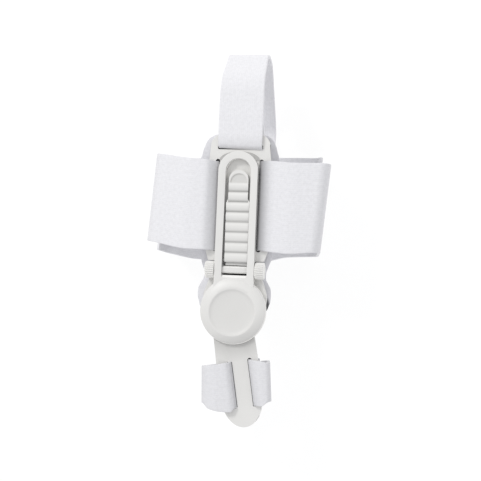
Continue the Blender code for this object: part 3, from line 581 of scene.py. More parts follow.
def between(value, marks, values):
    """Value at a place along rising marks, on a curve that overshoots none of them."""
    last = len(marks) - 1
    k = max(k for k in range(last) if k == 0 or value > marks[k])
    steps = [max(b - a, 1e-9) for a, b in zip(marks, marks[1:])]
    slopes = [(b - a) / step for a, b, step in zip(values, values[1:], steps)]

    def slope_at(i):
        if i in (0, last) or slopes[i - 1] * slopes[i] <= 0:
            return 0.0
        return 2 * slopes[i - 1] * slopes[i] / (slopes[i - 1] + slopes[i])

    t = min(max((value - marks[k]) / steps[k], 0.0), 1.0)
    rise = t * t * (3 - 2 * t)
    return (
        values[k] + (values[k + 1] - values[k]) * rise
        + steps[k] * t * (1 - t) * ((1 - t) * slope_at(k) - t * slope_at(k + 1)))


def strap_path(rows, step=STRAP_STEP):
    """Close stations along a path through bends, each with the columns of the bends beside it."""
    stations = []
    for i, row in enumerate(rows):
        if i in (0, len(rows) - 1):
            points = [row["place"]]
        else:
            points = turn_points(
                row["place"], rows[i - 1]["place"] - row["place"],
                rows[i + 1]["place"] - row["place"], row["radius"])
        if stations:
            start = stations[-1]["place"]
            count = math.ceil((points[0] - start).length / step)
            for k in range(1, count):
                stations.append({"bend": None, "place": start.lerp(points[0], k / count)})
        stations += [{"bend": row["bend"], "place": point} for point in points]
    lengths = [0.0]
    for before, after in zip(stations, stations[1:]):
        lengths.append(lengths[-1] + (after["place"] - before["place"]).length)
    marks = []
    for row in rows:
        near = [k for k, station in enumerate(stations) if station["bend"] == row["bend"]]
        marks.append((lengths[near[0]] + lengths[near[-1]]) / 2)
    for station, length in zip(stations, lengths):
        station["length"] = length
        for key in ("shift", "lean", "width"):
            station[key] = between(length, marks, [row[key] for row in rows])
    return stations


def bend(name, side, height, radius, shift=0.0, lean=0.0, width=1.0):
    return {
        "bend": name, "place": Vector((side, height)), "radius": radius,
        "shift": shift, "lean": lean, "width": width}


def arc_end(centre, radius, angle, side):
    """Point on an arc that starts straight below its centre and rises to one side."""
    return centre + Vector((side * radius * math.sin(angle), -radius * math.cos(angle)))


def fillet_centre(corner, along, wall, radius):
    """Centre of the round between the floor and a leaning wall at a corner."""
    half_angle = along.angle(wall) / 2
    return corner + (along.normalized() + wall.normalized()).normalized() * radius / math.sin(half_angle)


def front_rows(side, shape):
    """Bends in front, from a slot out to the fold of one side."""
    half = shape[side]
    reach = half["reach"] - HALF_STRAP
    sign = -1 if side == "left" else 1
    return [
        bend(
            f"{side}_front_{k}", sign * fold["side"] * reach, fold["height"] * shape["depth"],
            fold["bend"] * half["reach"], fold["shift"], fold.get("lean", 0.0) * shape["lean"],
            fold.get("width", 1.0))
        for k, fold in enumerate(half["front"])]


def tail_rows(name, centre, radius, wrap_deg, side, end_shift, turn_shift, shape):
    """A tail's end and the arc by which it comes down to the floor."""
    wrap = math.radians(wrap_deg)
    end = arc_end(centre, radius, wrap, side)
    middle = arc_end(centre, radius / math.cos(wrap / 2), wrap / 2, side)
    lean, wide = shape["lean"], shape["tail_width"]
    return [
        bend(name + "_end", *end, 0, end_shift, lean, wide),
        bend(name + "_turn", *middle, radius, turn_shift, lean, wide)]


def loop_rows(slot_x, slot_width, front, behind, shape):
    """Bends of a strap that passes behind two slots and laps over itself at the back."""
    left, right = shape["left"], shape["right"]
    floor = -shape["depth"] + HALF_STRAP
    inner = floor + LAP
    lean, wide = shape["lean"], shape["tail_width"]
    left_low = Vector((-(left["low_reach"] - HALF_STRAP), inner))
    right_low = Vector((right["low_reach"] - HALF_STRAP, floor))
    fronts = {side: front_rows(side, shape) for side in ("left", "right")}
    far = fillet_centre(
        right_low, Vector((-1, 0)), fronts["right"][-1]["place"] - right_low, right["radius"] + LAP)
    near = fillet_centre(
        left_low, Vector((1, 0)), fronts["left"][-1]["place"] - left_low, left["radius"])
    rows = tail_rows("inner", far, right["radius"], right["wrap"], 1, left["tail"], left["tail"], shape)
    rows.append(bend("left_low", *left_low, left["radius"], left["tail"] * 0.8, lean, wide))
    rows += reversed(fronts["left"])
    rows.append(bend("left_slot_front", -slot_x, front, slot_width / 2, left["slot"]))
    rows.append(bend("left_slot_back", -slot_x, behind, slot_width / 2, left["slot"]))
    rows.append(bend("right_slot_back", slot_x, behind, slot_width / 2, right["slot"]))
    rows.append(bend("right_slot_front", slot_x, front, slot_width / 2, right["slot"]))
    rows += fronts["right"]
    rows.append(bend("right_low", *right_low, right["radius"] + LAP, right["tail"] * 0.5, lean, wide))
    for k, place in enumerate(shape.get("outer_run", [])):
        rows.append(bend(f"outer_run_{k}", place["side"], floor, 0, place["shift"], lean, wide))
    rows += reversed(tail_rows(
        "outer", near, left["radius"] + LAP, left["wrap"], -1, right["tail"] * 0.1, right["tail"], shape))
    return rows


def loop_ruling(strap_width, middle_y):
    def ruling(station):
        lean = math.radians(station["lean"])
        along = Vector((-math.sin(lean), math.cos(lean), 0))
        side, height = station["place"]
        centre = Vector((side, middle_y, height)) + along * station["shift"] * strap_width
        half = along * strap_width * station["width"] / 2
        return centre - half, centre + half
    return ruling


def lay_strap(name, stations, strap_width, ruling, middle, depth):
    """Knitted strap: a grid laid along its path, given its thickness and soft edges.

    The middle is a place inside its loop, which tells its inner side from its outer side.
    """
    columns = round(strap_width / STRAP_THICKNESS)
    rows = len(stations) - 1
    bpy.ops.object.select_all(action="DESELECT")
    bpy.ops.mesh.primitive_grid_add(x_subdivisions=rows, y_subdivisions=columns, size=1, calc_uvs=True)
    item = added(name)
    mesh = item.data
    places = [(round((vert.co.x + 0.5) * rows), vert.co.y + 0.5) for vert in mesh.vertices]
    mesh.uv_layers[0].name = "along_strap"
    uv = mesh.uv_layers[0].data
    for loop in mesh.loops:
        k, across = places[loop.vertex_index]
        uv[loop.index].uv = (stations[k]["length"], across * strap_width)
    rulings = [ruling(station) for station in stations]
    for vert, (k, across) in zip(mesh.vertices, places):
        vert.co = rulings[k][0].lerp(rulings[k][1], across)
    applied(item, "SOLIDIFY", thickness=STRAP_THICKNESS, offset=0, use_even_offset=True)
    soften(item, STRAP_EDGE, 2, 60)
    edit(item, "FACE")
    bpy.ops.mesh.select_all(action="SELECT")
    bpy.ops.mesh.normals_make_consistent(inside=False)
    leave_edit()
    mark(item, "inner", lambda place, face: 1.0 if face.normal.dot(middle - place) > 0 else 0.0)
    # depth works out each face corner's painted shade
    mark(item, "recess", depth)
    smooth(item, 60)
    return item


def slot_shade(slot_x, reach, left, right, base=0.0):
    """Painted shade of a strap where it comes up out of its slots, fading over a distance with its own
    strength on each side, with painted shade on faces that turn sideways and an even base darkening.
    """
    def depth(place, face):
        shade = base + 0.10 * ramp(abs(face.normal.x), 0.2, 0.7)
        if place.z < 0 or face.normal.z < 0.3:
            return shade
        # Painted shade by the slots, with its own strength on each side
        strength = left if place.x < 0 else right
        return shade + strength * (1 - ramp(abs(place.x) - slot_x, 0.0, reach)) ** 1.6
    return depth


# Materials


def new_group(name, inputs, outputs):
    group = bpy.data.node_groups.new(name, "ShaderNodeTree")
    for label, kind, value in inputs:
        socket = group.interface.new_socket(name=label, in_out="INPUT", socket_type=kind)
        socket.default_value = value
    for label, kind in outputs:
        group.interface.new_socket(name=label, in_out="OUTPUT", socket_type=kind)
    return group, group.nodes.new("NodeGroupInput"), group.nodes.new("NodeGroupOutput")


def maths(tree, operation, first, second=None, third=None):
    """Math node whose inputs are sockets or numbers."""
    made = tree.nodes.new("ShaderNodeMath")
    made.operation = operation
    for k, value in enumerate((first, second, third)):
        if value is None:
            continue
        if isinstance(value, (int, float)):
            made.inputs[k].default_value = value
        else:
            tree.links.new(value, made.inputs[k])
    return made.outputs[0]


def noise(tree, vector, scale, detail=2.0, rough=0.5):
    made = tree.nodes.new("ShaderNodeTexNoise")
    tree.links.new(vector, made.inputs["Vector"])
    if isinstance(scale, (int, float)):
        made.inputs["Scale"].default_value = scale
    else:
        tree.links.new(scale, made.inputs["Scale"])
    made.inputs["Detail"].default_value = detail
    made.inputs["Roughness"].default_value = rough
    return made.outputs["Fac"]


def mixed(tree, share, first, second):
    made = tree.nodes.new("ShaderNodeMix")
    made.data_type = "RGBA"
    for socket, value in ((made.inputs[0], share), (made.inputs[6], first), (made.inputs[7], second)):
        if hasattr(value, "is_linked"):
            tree.links.new(value, socket)
        else:
            socket.default_value = value
    return made.outputs[2]


def limited(tree, value):
    return maths(tree, "MINIMUM", maths(tree, "MAXIMUM", value, 0.0), 1.0)


def moulded_group():
    """Cloudiness, gloss and fine grain of an injection moulding, with painted shade in gaps and a painted
    highlight on edges.
    """
    group, given, result = new_group(
        "moulded_surface",
        [("Position", "NodeSocketVector", (0, 0, 0)), ("Colour", "NodeSocketColor", (1, 1, 1, 1)),
         ("Deep Colour", "NodeSocketColor", (1, 1, 1, 1)),
         ("Shadow Colour", "NodeSocketColor", (0, 0, 0, 1)),
         ("Edge Colour", "NodeSocketColor", (1, 1, 1, 1)), ("Recess", "NodeSocketFloat", 0.0),
         ("Gloss", "NodeSocketFloat", 0.4), ("Grain Size", "NodeSocketFloat", 0.0004)],
        [("Colour", "NodeSocketColor"), ("Roughness", "NodeSocketFloat"), ("Height", "NodeSocketFloat")])
    place = given.outputs["Position"]
    cloud = noise(group, place, 55.0, 3.0)
    fine = noise(group, place, maths(group, "DIVIDE", 1.0, given.outputs["Grain Size"]), 1.0)
    share = maths(group, "MULTIPLY", maths(group, "SUBTRACT", cloud, 0.35), 1.6)
    speckle = maths(group, "MULTIPLY", maths(group, "SUBTRACT", fine, 0.5), 1.2)
    tone = mixed(
        group, limited(group, maths(group, "ADD", share, speckle)), given.outputs["Colour"],
        given.outputs["Deep Colour"])
    # Painted light: above 0 towards the painted shadow colour, below 0 towards the painted highlight colour
    recess = given.outputs["Recess"]
    tone = mixed(group, limited(group, recess), tone, given.outputs["Shadow Colour"])
    highlight_share = limited(group, maths(group, "MULTIPLY", recess, -1.0))
    tone = mixed(group, highlight_share, tone, given.outputs["Edge Colour"])
    group.links.new(tone, result.inputs["Colour"])
    spread = maths(group, "MULTIPLY", maths(group, "SUBTRACT", fine, 0.5), 0.10)
    patch = maths(group, "MULTIPLY", maths(group, "SUBTRACT", cloud, 0.5), 0.12)
    rough = maths(group, "ADD", maths(group, "ADD", given.outputs["Gloss"], spread), patch)
    group.links.new(rough, result.inputs["Roughness"])
    height = maths(group, "ADD", maths(group, "MULTIPLY", fine, 0.7), maths(group, "MULTIPLY", cloud, 0.3))
    group.links.new(height, result.inputs["Height"])
    return group


def knit_group():
    """Elastic knit on a surface given in metres: ribs on its inner side, a plain grain outside, with painted
    shade in the rib valleys and a painted shadow where a piece is marked for it.
    """
    group, given, result = new_group(
        "elastic_knit",
        [("Surface", "NodeSocketVector", (0, 0, 0)), ("Rib Pitch", "NodeSocketFloat", 0.0012),
         ("Stitch Pitch", "NodeSocketFloat", 0.0009), ("Inner", "NodeSocketFloat", 0.0),
         ("Recess", "NodeSocketFloat", 0.0), ("Colour", "NodeSocketColor", (1, 1, 1, 1)),
         ("Valley Colour", "NodeSocketColor", (1, 1, 1, 1)),
         ("Shadow Colour", "NodeSocketColor", (0, 0, 0, 1))],
        [("Colour", "NodeSocketColor"), ("Height", "NodeSocketFloat")])
    surface = given.outputs["Surface"]
    parts = group.nodes.new("ShaderNodeSeparateXYZ")
    group.links.new(surface, parts.inputs[0])
    across = maths(group, "DIVIDE", parts.outputs["Y"], given.outputs["Rib Pitch"])
    along = maths(group, "DIVIDE", parts.outputs["X"], given.outputs["Stitch Pitch"])
    rib = maths(group, "ABSOLUTE", maths(group, "SINE", maths(group, "MULTIPLY", across, math.pi)))
    odd = maths(group, "MULTIPLY", maths(group, "FLOOR", across), 0.5)
    lean = maths(group, "MULTIPLY", maths(group, "FRACT", across), 0.5)
    phase = maths(group, "ADD", maths(group, "ADD", along, odd), lean)
    stitch = maths(group, "SINE", maths(group, "MULTIPLY", phase, math.tau))
    stitch = maths(group, "MULTIPLY_ADD", stitch, 0.22, 0.78)
    ribbed = maths(group, "MULTIPLY", maths(group, "POWER", rib, 0.6), stitch)
    strength = maths(group, "MULTIPLY_ADD", given.outputs["Inner"], 0.25, 0.4)
    # Depth of the ribs: their relief, and also the painted shade in their valleys
    depth = maths(group, "MULTIPLY", maths(group, "SUBTRACT", 1.0, ribbed), strength)
    fuzz = maths(group, "SUBTRACT", noise(group, surface, 1900.0, 2.0), 0.5)
    blotch = maths(group, "SUBTRACT", noise(group, surface, 560.0, 2.0), 0.5)
    height = maths(group, "ADD", maths(group, "SUBTRACT", 1.0, depth), maths(group, "MULTIPLY", fuzz, 0.9))
    group.links.new(height, result.inputs["Height"])
    heather = maths(group, "ADD", maths(group, "MULTIPLY", fuzz, 1.3), maths(group, "MULTIPLY", blotch, 1.5))
    # Darker colour where the ribs are deep, as painted shade, mixed with random heather tone
    share = maths(group, "ADD", maths(group, "MULTIPLY", depth, 0.9), maths(group, "ADD", heather, 0.25))
    tone = mixed(group, limited(group, share), given.outputs["Colour"], given.outputs["Valley Colour"])
    # Painted shadow where a piece is marked for it
    tone = mixed(group, limited(group, given.outputs["Recess"]), tone, given.outputs["Shadow Colour"])
    group.links.new(tone, result.inputs["Colour"])
    return group


def new_finish(name, slot):
    """Material with a Principled shader, for one of the record's slots."""
    finish = bpy.data.materials.new(name)
    finish.use_nodes = True
    finish["slot"] = slot
    return finish, finish.node_tree, finish.node_tree.nodes["Principled BSDF"]


def use_group(tree, group, **sockets):
    made = tree.nodes.new("ShaderNodeGroup")
    made.node_tree = group
    for key, value in sockets.items():
        made.inputs[key.replace("_", " ")].default_value = value
    return made


def attribute(tree, name, target):
    made = tree.nodes.new("ShaderNodeAttribute")
    made.attribute_name = name
    tree.links.new(made.outputs["Fac"], target)


def scaled(colour, factor):
    return (*[channel * factor for channel in colour], 1)


def bump(tree, shader, height, distance, strength=0.5):
    made = tree.nodes.new("ShaderNodeBump")
    made.inputs["Distance"].default_value = distance
    made.inputs["Strength"].default_value = strength
    tree.links.new(height, made.inputs["Height"])
    tree.links.new(made.outputs["Normal"], shader.inputs["Normal"])


# Moulded plastic: shades of its colour for its random tone, the painted shadow and the painted highlight,
# grain size and relief
PLASTIC_DEEP = 0.955
PLASTIC_SHADOW = 0.03
PLASTIC_PAINTED_HIGHLIGHT = 1.19
PLASTIC_GRAIN = 0.00045
PLASTIC_RELIEF = 0.00003


def plastic_finish(name, look):
    """Moulded plastic, with painted shade in its gaps and a painted highlight on its edges."""
    finish, tree, shader = new_finish(name, "shell_plastic")
    place = tree.nodes.new("ShaderNodeTexCoord")
    colour = look.plastic_colour
    surface = use_group(
        tree, bpy.data.node_groups["moulded_surface"], Colour=scaled(colour, 1),
        Deep_Colour=scaled(colour, PLASTIC_DEEP), Shadow_Colour=scaled(colour, PLASTIC_SHADOW),
        Edge_Colour=scaled(colour, PLASTIC_PAINTED_HIGHLIGHT), Gloss=look.plastic_roughness,
        Grain_Size=PLASTIC_GRAIN)
    tree.links.new(place.outputs["Object"], surface.inputs["Position"])
    attribute(tree, "recess", surface.inputs["Recess"])
    tree.links.new(surface.outputs["Colour"], shader.inputs["Base Color"])
    tree.links.new(surface.outputs["Roughness"], shader.inputs["Roughness"])
    bump(tree, shader, surface.outputs["Height"], PLASTIC_RELIEF)
    shader.inputs["IOR"].default_value = 1.46
    return finish


# Knitted cloths: shades of the colour (valley: painted shade in the rib valleys, mixed with random heather;
# shadow: painted shadow), pitches as shares of the rib pitch, relief, roughness, sheen
KNITS = {
    "elastic_knit_white": {
        "slot": "strap_elastic", "colour": "elastic_colour", "valley": 0.89, "shadow": 0.10,
        "rib": 1.0, "stitch": 0.8, "relief": 0.00008, "roughness": 0.92, "sheen": 0.08},
    "pad_cover_white": {
        "slot": "pad_cloth", "colour": "cover_colour", "valley": 0.91, "shadow": 0.05,
        "rib": 0.6, "stitch": 0.6, "relief": 0.00006, "roughness": 0.95, "sheen": 0.1},
}


def knit_finish(name, look):
    """Cloth whose knit follows a strap's length, or lies over the whole of the pad."""
    cloth = KNITS[name]
    finish, tree, shader = new_finish(name, cloth["slot"])
    colour = getattr(look, cloth["colour"])
    knit = use_group(
        tree, bpy.data.node_groups["elastic_knit"], Colour=scaled(colour, 1),
        Valley_Colour=scaled(colour, cloth["valley"]), Shadow_Colour=scaled(colour, cloth["shadow"]),
        Rib_Pitch=look.rib_pitch * cloth["rib"], Stitch_Pitch=look.rib_pitch * cloth["stitch"])
    if cloth["slot"] == "strap_elastic":
        place = tree.nodes.new("ShaderNodeUVMap")
        place.uv_map = "along_strap"
        surface = place.outputs["UV"]
        attribute(tree, "inner", knit.inputs["Inner"])
    else:
        surface = tree.nodes.new("ShaderNodeTexCoord").outputs["Object"]
    tree.links.new(surface, knit.inputs["Surface"])
    attribute(tree, "recess", knit.inputs["Recess"])
    tree.links.new(knit.outputs["Colour"], shader.inputs["Base Color"])
    bump(tree, shader, knit.outputs["Height"], cloth["relief"])
    shader.inputs["Roughness"].default_value = cloth["roughness"]
    shader.inputs["Sheen Weight"].default_value = cloth["sheen"]
    return finish


def finish_named(name):
    """Material of that name, made with its node groups when it is first asked for."""
    if "moulded_surface" not in bpy.data.node_groups:
        moulded_group()
        knit_group()
    make = knit_finish if name in KNITS else plastic_finish
    return bpy.data.materials.get(name) or make(name, bpy.context.scene.splint_look)


# Settings


class SplintLook(bpy.types.PropertyGroup):
    plastic_colour: bpy.props.FloatVectorProperty(
        name="Plastic colour", description="Colour of the mouldings", subtype="COLOR",
        default=(0.80, 0.792, 0.772), min=0, max=1)
    plastic_roughness: bpy.props.FloatProperty(
        name="Plastic roughness", description="Roughness of the mouldings", default=0.42,
        min=0, max=1, subtype="FACTOR")
    elastic_colour: bpy.props.FloatVectorProperty(
        name="Elastic colour", description="Colour of the straps", subtype="COLOR",
        default=(0.865, 0.862, 0.885), min=0, max=1)
    cover_colour: bpy.props.FloatVectorProperty(
        name="Cover colour", description="Colour of the pad's cover", subtype="COLOR",
        default=(0.735, 0.733, 0.76), min=0, max=1)
    rib_pitch: bpy.props.FloatProperty(
        name="Rib pitch", description="Pitch of the ribs knitted along the straps",
        default=0.0011, min=0.0004, max=0.004, unit="LENGTH", precision=5)


class SplintShape(bpy.types.PropertyGroup):
    moulding_edge: bpy.props.FloatProperty(
        name="Moulding edge", description="Width of the rounding of the mouldings' edges",
        default=0.0005, min=0.0001, max=0.001, unit="LENGTH", precision=5)
    ring_edge: bpy.props.FloatProperty(
        name="Ring edge", description="Width of the rounding of the ring frame's rim",
        default=0.00055, min=0.0001, max=0.0018, unit="LENGTH", precision=5)
    pad_swell: bpy.props.FloatProperty(
        name="Pad swell", description="How far the pad swells under its cover",
        default=0.0009, min=0.0, max=0.0015, unit="LENGTH", precision=5)


class SplintStudio(bpy.types.PropertyGroup):
    distance: bpy.props.FloatProperty(
        name="Camera distance", description="Distance of the camera from the splint",
        default=0.60, min=0.2, max=3, unit="LENGTH")
    lens: bpy.props.FloatProperty(
        name="Lens", description="Focal length of the camera", default=81.0, min=20, max=200,
        unit="CAMERA")
    key_power: bpy.props.FloatProperty(
        name="Key light", description="Power of the light at the upper left", default=8.0,
        min=0, max=100, unit="POWER")
    fill_power: bpy.props.FloatProperty(
        name="Fill light", description="Power of the light at the lower right", default=0.5,
        min=0, max=100, unit="POWER")
    sky: bpy.props.FloatProperty(
        name="Surround", description="Brightness of the studio's surround", default=0.78,
        min=0, max=2)


# Pieces


class SPLINT_OT_base_plate(bpy.types.Operator):
    """Base plate with the slots of the mid-foot strap and the heel strap."""
    bl_idname = "splint.base_plate"
    bl_label = "Base plate"

    def execute(self, context):
        plate = block(
            "splint_base_plate", (-PLATE_HALF_WIDTH, PLATE_FOOT_Y, -PLATE_THICKNESS),
            (PLATE_HALF_WIDTH, PLATE_HEAD_Y, 0.0))
        bisect_at(plate, PLATE_FOOT_Y + PLATE_FLARE)
        bisect_at(plate, SIDE_SLOT_HEAD_Y)
        widen(plate, lambda co: co.y < PLATE_FOOT_Y + NEAR, PLATE_FOOT_HALF_WIDTH / PLATE_HALF_WIDTH)
        widen(plate, lambda co: co.y > PLATE_HEAD_Y - NEAR, PLATE_HEAD_HALF_WIDTH / PLATE_HALF_WIDTH)
        for row in PLATE_CORNERS:
            round_corners(plate, lambda co: abs(co.y - row["y"]) < NEAR / 2, row["radius"], row["segments"])
        for side in (-1, 1):
            combine(plate, slot_cutter(
                "side_slot", side * SIDE_SLOT_X, MIDFOOT_Y, SIDE_SLOT_WIDTH - SLOT_SIDE_PLAY,
                SIDE_SLOT_LENGTH - 2 * SLOT_END_PLAY))
        half = HEEL_STRAP_WIDTH / 2 + SLOT_END_PLAY
        heel_slot = block(
            "heel_slot", (-half, HEEL_SLOT_FOOT_Y + HEEL_SLOT_SILL, -THROUGH),
            (half, HEEL_SLOT_HEAD_Y, THROUGH))
        round_corners(heel_slot, lambda co: True, SIDE_SLOT_WIDTH * 0.3, 5)
        combine(plate, heel_slot)
        half = WINDOW_HALF_WIDTH + BED_PLAY
        bed = block(
            "window_bed", (-half, PLATE_FOOT_Y + NEAR, -BED_DEPTH),
            (half, WINDOW_HEAD_Y + BED_PLAY, THROUGH / 10))
        round_corners(bed, lambda co: co.y > WINDOW_HEAD_Y, half * ROUND_END, 20)
        for reach in (0.001, -0.0002, -0.005):
            bisect_at(bed, LADDER_HEAD_Y + reach)
        combine(plate, bed)
        soften(plate, context.scene.splint_shape.moulding_edge, 3)
        is_edge = painted_highlight_edges(plate)
        slot_reach = SIDE_SLOT_WIDTH * 0.6

        # Painted shade on the window's bed, deeper towards the foot, away from the ladder's tip; full
        # painted shade in the slots' walls; a painted highlight on rounded edges
        def depth(place, face):
            inside = abs(place.x) < half + TOUCH and place.y < WINDOW_HEAD_Y + NEAR / 2
            if inside and place.z < -CLOSE and face.normal.z > 0.5:
                return 0.03 + 0.22 * ramp(place.y, LADDER_HEAD_Y - 0.001, LADDER_HEAD_Y - 0.006)
            in_slot = abs(face.normal.z) < 0.5 and (
                abs(abs(place.x) - SIDE_SLOT_X) < slot_reach or abs(place.y - HEEL_SLOT_Y) < slot_reach)
            if in_slot and place.y < HEEL_SLOT_HEAD_Y + NEAR / 2:
                return PAINTED_GAP_SHADE
            return PAINTED_HIGHLIGHT if is_edge(face) else 0.0

        deliver(plate, "shell_white", "splint", "base_plate", depth)
        return {"FINISHED"}


class SPLINT_OT_cover_frame(bpy.types.Operator):
    """Round knob cover with the ring frame that surrounds the ratchet."""
    bl_idname = "splint.cover_frame"
    bl_label = "Cover and ring frame"

    def execute(self, context):
        foot_y = KNOB_RADIUS * RING_FOOT_SHARE
        top = GAP + RING_HEIGHT

        def arch(name, half, low, high):
            """Block with a round head, between two corners' heights and places along it."""
            item = block(name, (-half, *low), (half, *high))
            round_corners(item, lambda co: co.y > high[0] - NEAR, half * ROUND_END, 24)
            return item

        ring = arch("splint_cover_frame", RING_HALF_WIDTH, (foot_y, GAP), (RING_HEAD_Y, top))
        funnel = arch(
            "funnel", RING_HALF_WIDTH - FUNNEL_RIM, (foot_y - NEAR, top + 0.00005),
            (RING_HEAD_Y - FUNNEL_RIM, top + 0.002))
        edit(funnel, "FACE")
        pick(funnel, "faces", lambda face: face.normal.z < -0.9)
        bpy.ops.mesh.inset(thickness=FUNNEL_WIDTH, depth=0)
        bpy.ops.transform.translate(value=(0, 0, -FUNNEL_DEPTH))
        leave_edit()
        combine(ring, funnel, solver="MANIFOLD")
        half = WINDOW_HALF_WIDTH
        ledge_y = WINDOW_FOOT_Y + LEDGE_LENGTH
        window = block("window", (-half, ledge_y, -THROUGH), (half, WINDOW_HEAD_Y, THROUGH))
        round_corners(window, lambda co: co.y > WINDOW_HEAD_Y - NEAR, half * ROUND_END, 20)
        combine(ring, window, solver="MANIFOLD")
        over_ledge = block(
            "over_ledge", (-half, WINDOW_FOOT_Y, top - LEDGE_DROP), (half, ledge_y + 0.002, THROUGH))
        round_corners(over_ledge, lambda co: co.y < WINDOW_FOOT_Y + NEAR, WINDOW_CORNER, 6)
        combine(ring, over_ledge, solver="MANIFOLD")
        soften(ring, context.scene.splint_shape.ring_edge, 3)
        # Thin sheet round the ring's foot, lying on the plate, which carries a painted shadow
        skirt = arch(
            "skirt", RING_HALF_WIDTH + SHADOW_SHEET, (SIDE_SLOT_HEAD_Y - NEAR, GAP),
            (RING_HEAD_Y + SHADOW_SHEET, GAP + SHADOW_SHEET))
        half = WINDOW_HALF_WIDTH + NEAR
        combine(skirt, block(
            "skirt_room", (-half, 0.0, -0.01), (half, WINDOW_HEAD_Y + NEAR, 0.01)), solver="MANIFOLD")
        combine(ring, skirt, "UNION", "MANIFOLD")
        knob = drum("knob", KNOB_RADIUS, KNOB_UNDERSIDE, KNOB_UNDERSIDE + KNOB_BASE, KNOB_SIDES)
        edit(knob, "FACE")
        pick(knob, "faces", lambda face: face.normal.z > 0.9)
        for row in KNOB_RINGS:
            bpy.ops.mesh.inset(thickness=row["inset"], depth=0)
            bpy.ops.transform.translate(value=(0, row.get("shift", 0), row["rise"]))
        leave_edit()
        combine(ring, knob, "UNION", "MANIFOLD")
        reach = RING_HALF_WIDTH + NEAR
        bore = AXLE_BAR_RADIUS + BORE_PLAY
        lever_room = block(
            "lever_room", (-reach, foot_y - NEAR, -NEAR), (reach, KNOB_RADIUS - 0.0002, KNOB_UNDERSIDE))
        axle_mouth = block(
            "axle_mouth", (-reach, AXLE_Y - bore, -NEAR), (reach, AXLE_Y + bore, AXLE_HEIGHT))
        axle_bore = drum("axle_bore", bore, -reach, reach, 48, (AXLE_Y, AXLE_HEIGHT), "X")
        for room in (lever_room, axle_mouth, axle_bore):
            combine(ring, room, solver="MANIFOLD")
        is_edge = painted_highlight_edges(ring)
        flange_inside = KNOB_RADIUS - KNOB_FLANGE * 1.6
        flange_top = KNOB_UNDERSIDE + FLANGE_HEIGHT
        outside = RING_HALF_WIDTH - CLOSE

        # Painted shade in the knob's dish, and on its rim towards the left and the lower right
        def knob_shade(place):
            if place.xy.length < DISH_RADIUS:
                return DISH_SHADE
            left = ramp(-place.x - place.y / 2, RIM_SHADE_FROM, KNOB_RADIUS)
            foot = ramp((place.x - 2 * place.y) / 5 ** 0.5, RIM_SHADE_FROM, KNOB_RADIUS)
            return RIM_SHADE_LEFT * left + RIM_SHADE_FOOT * foot

        # Painted shadow on the sheet round the ring's foot, a painted highlight on the knob's flange, the
        # window's ledge and rounded edges, and painted shade on the knob and on the ring's outer and inner
        # walls
        def depth(place, face):
            if face.normal.z > 0.9 and abs(place.z - GAP - SHADOW_SHEET) < 2 * TOUCH:
                return SHADOW_SHEET_STRENGTH
            if place.xy.length > flange_inside and place.z < flange_top:
                return PAINTED_HIGHLIGHT
            if place.y < KNOB_RADIUS * 0.93:
                return knob_shade(place)
            if abs(place.x) > outside and abs(face.normal.x) > 0.7:
                return PAINTED_WALL_SHADE if place.y > PLATE_FOOT_Y + WALL_SHADE_FROM else WALL_SHADE_FOOT
            if place.z < top - 9 * CLOSE and face.normal.z > 0.9 and place.y < ledge_y + CLOSE:
                return PAINTED_HIGHLIGHT
            inner_wall = place.y > WINDOW_FOOT_Y + NEAR / 2 and abs(face.normal.z) < 0.5
            if inner_wall and abs(place.x) < WINDOW_HALF_WIDTH + CLOSE:
                return PAINTED_WALL_SHADE * ramp(place.z, top, top - WINDOW_SHADE_DROP)
            return PAINTED_HIGHLIGHT if is_edge(face) else 0.0

        deliver(ring, "shell_white", "splint", "cover_frame", depth, 32)
        return {"FINISHED"}


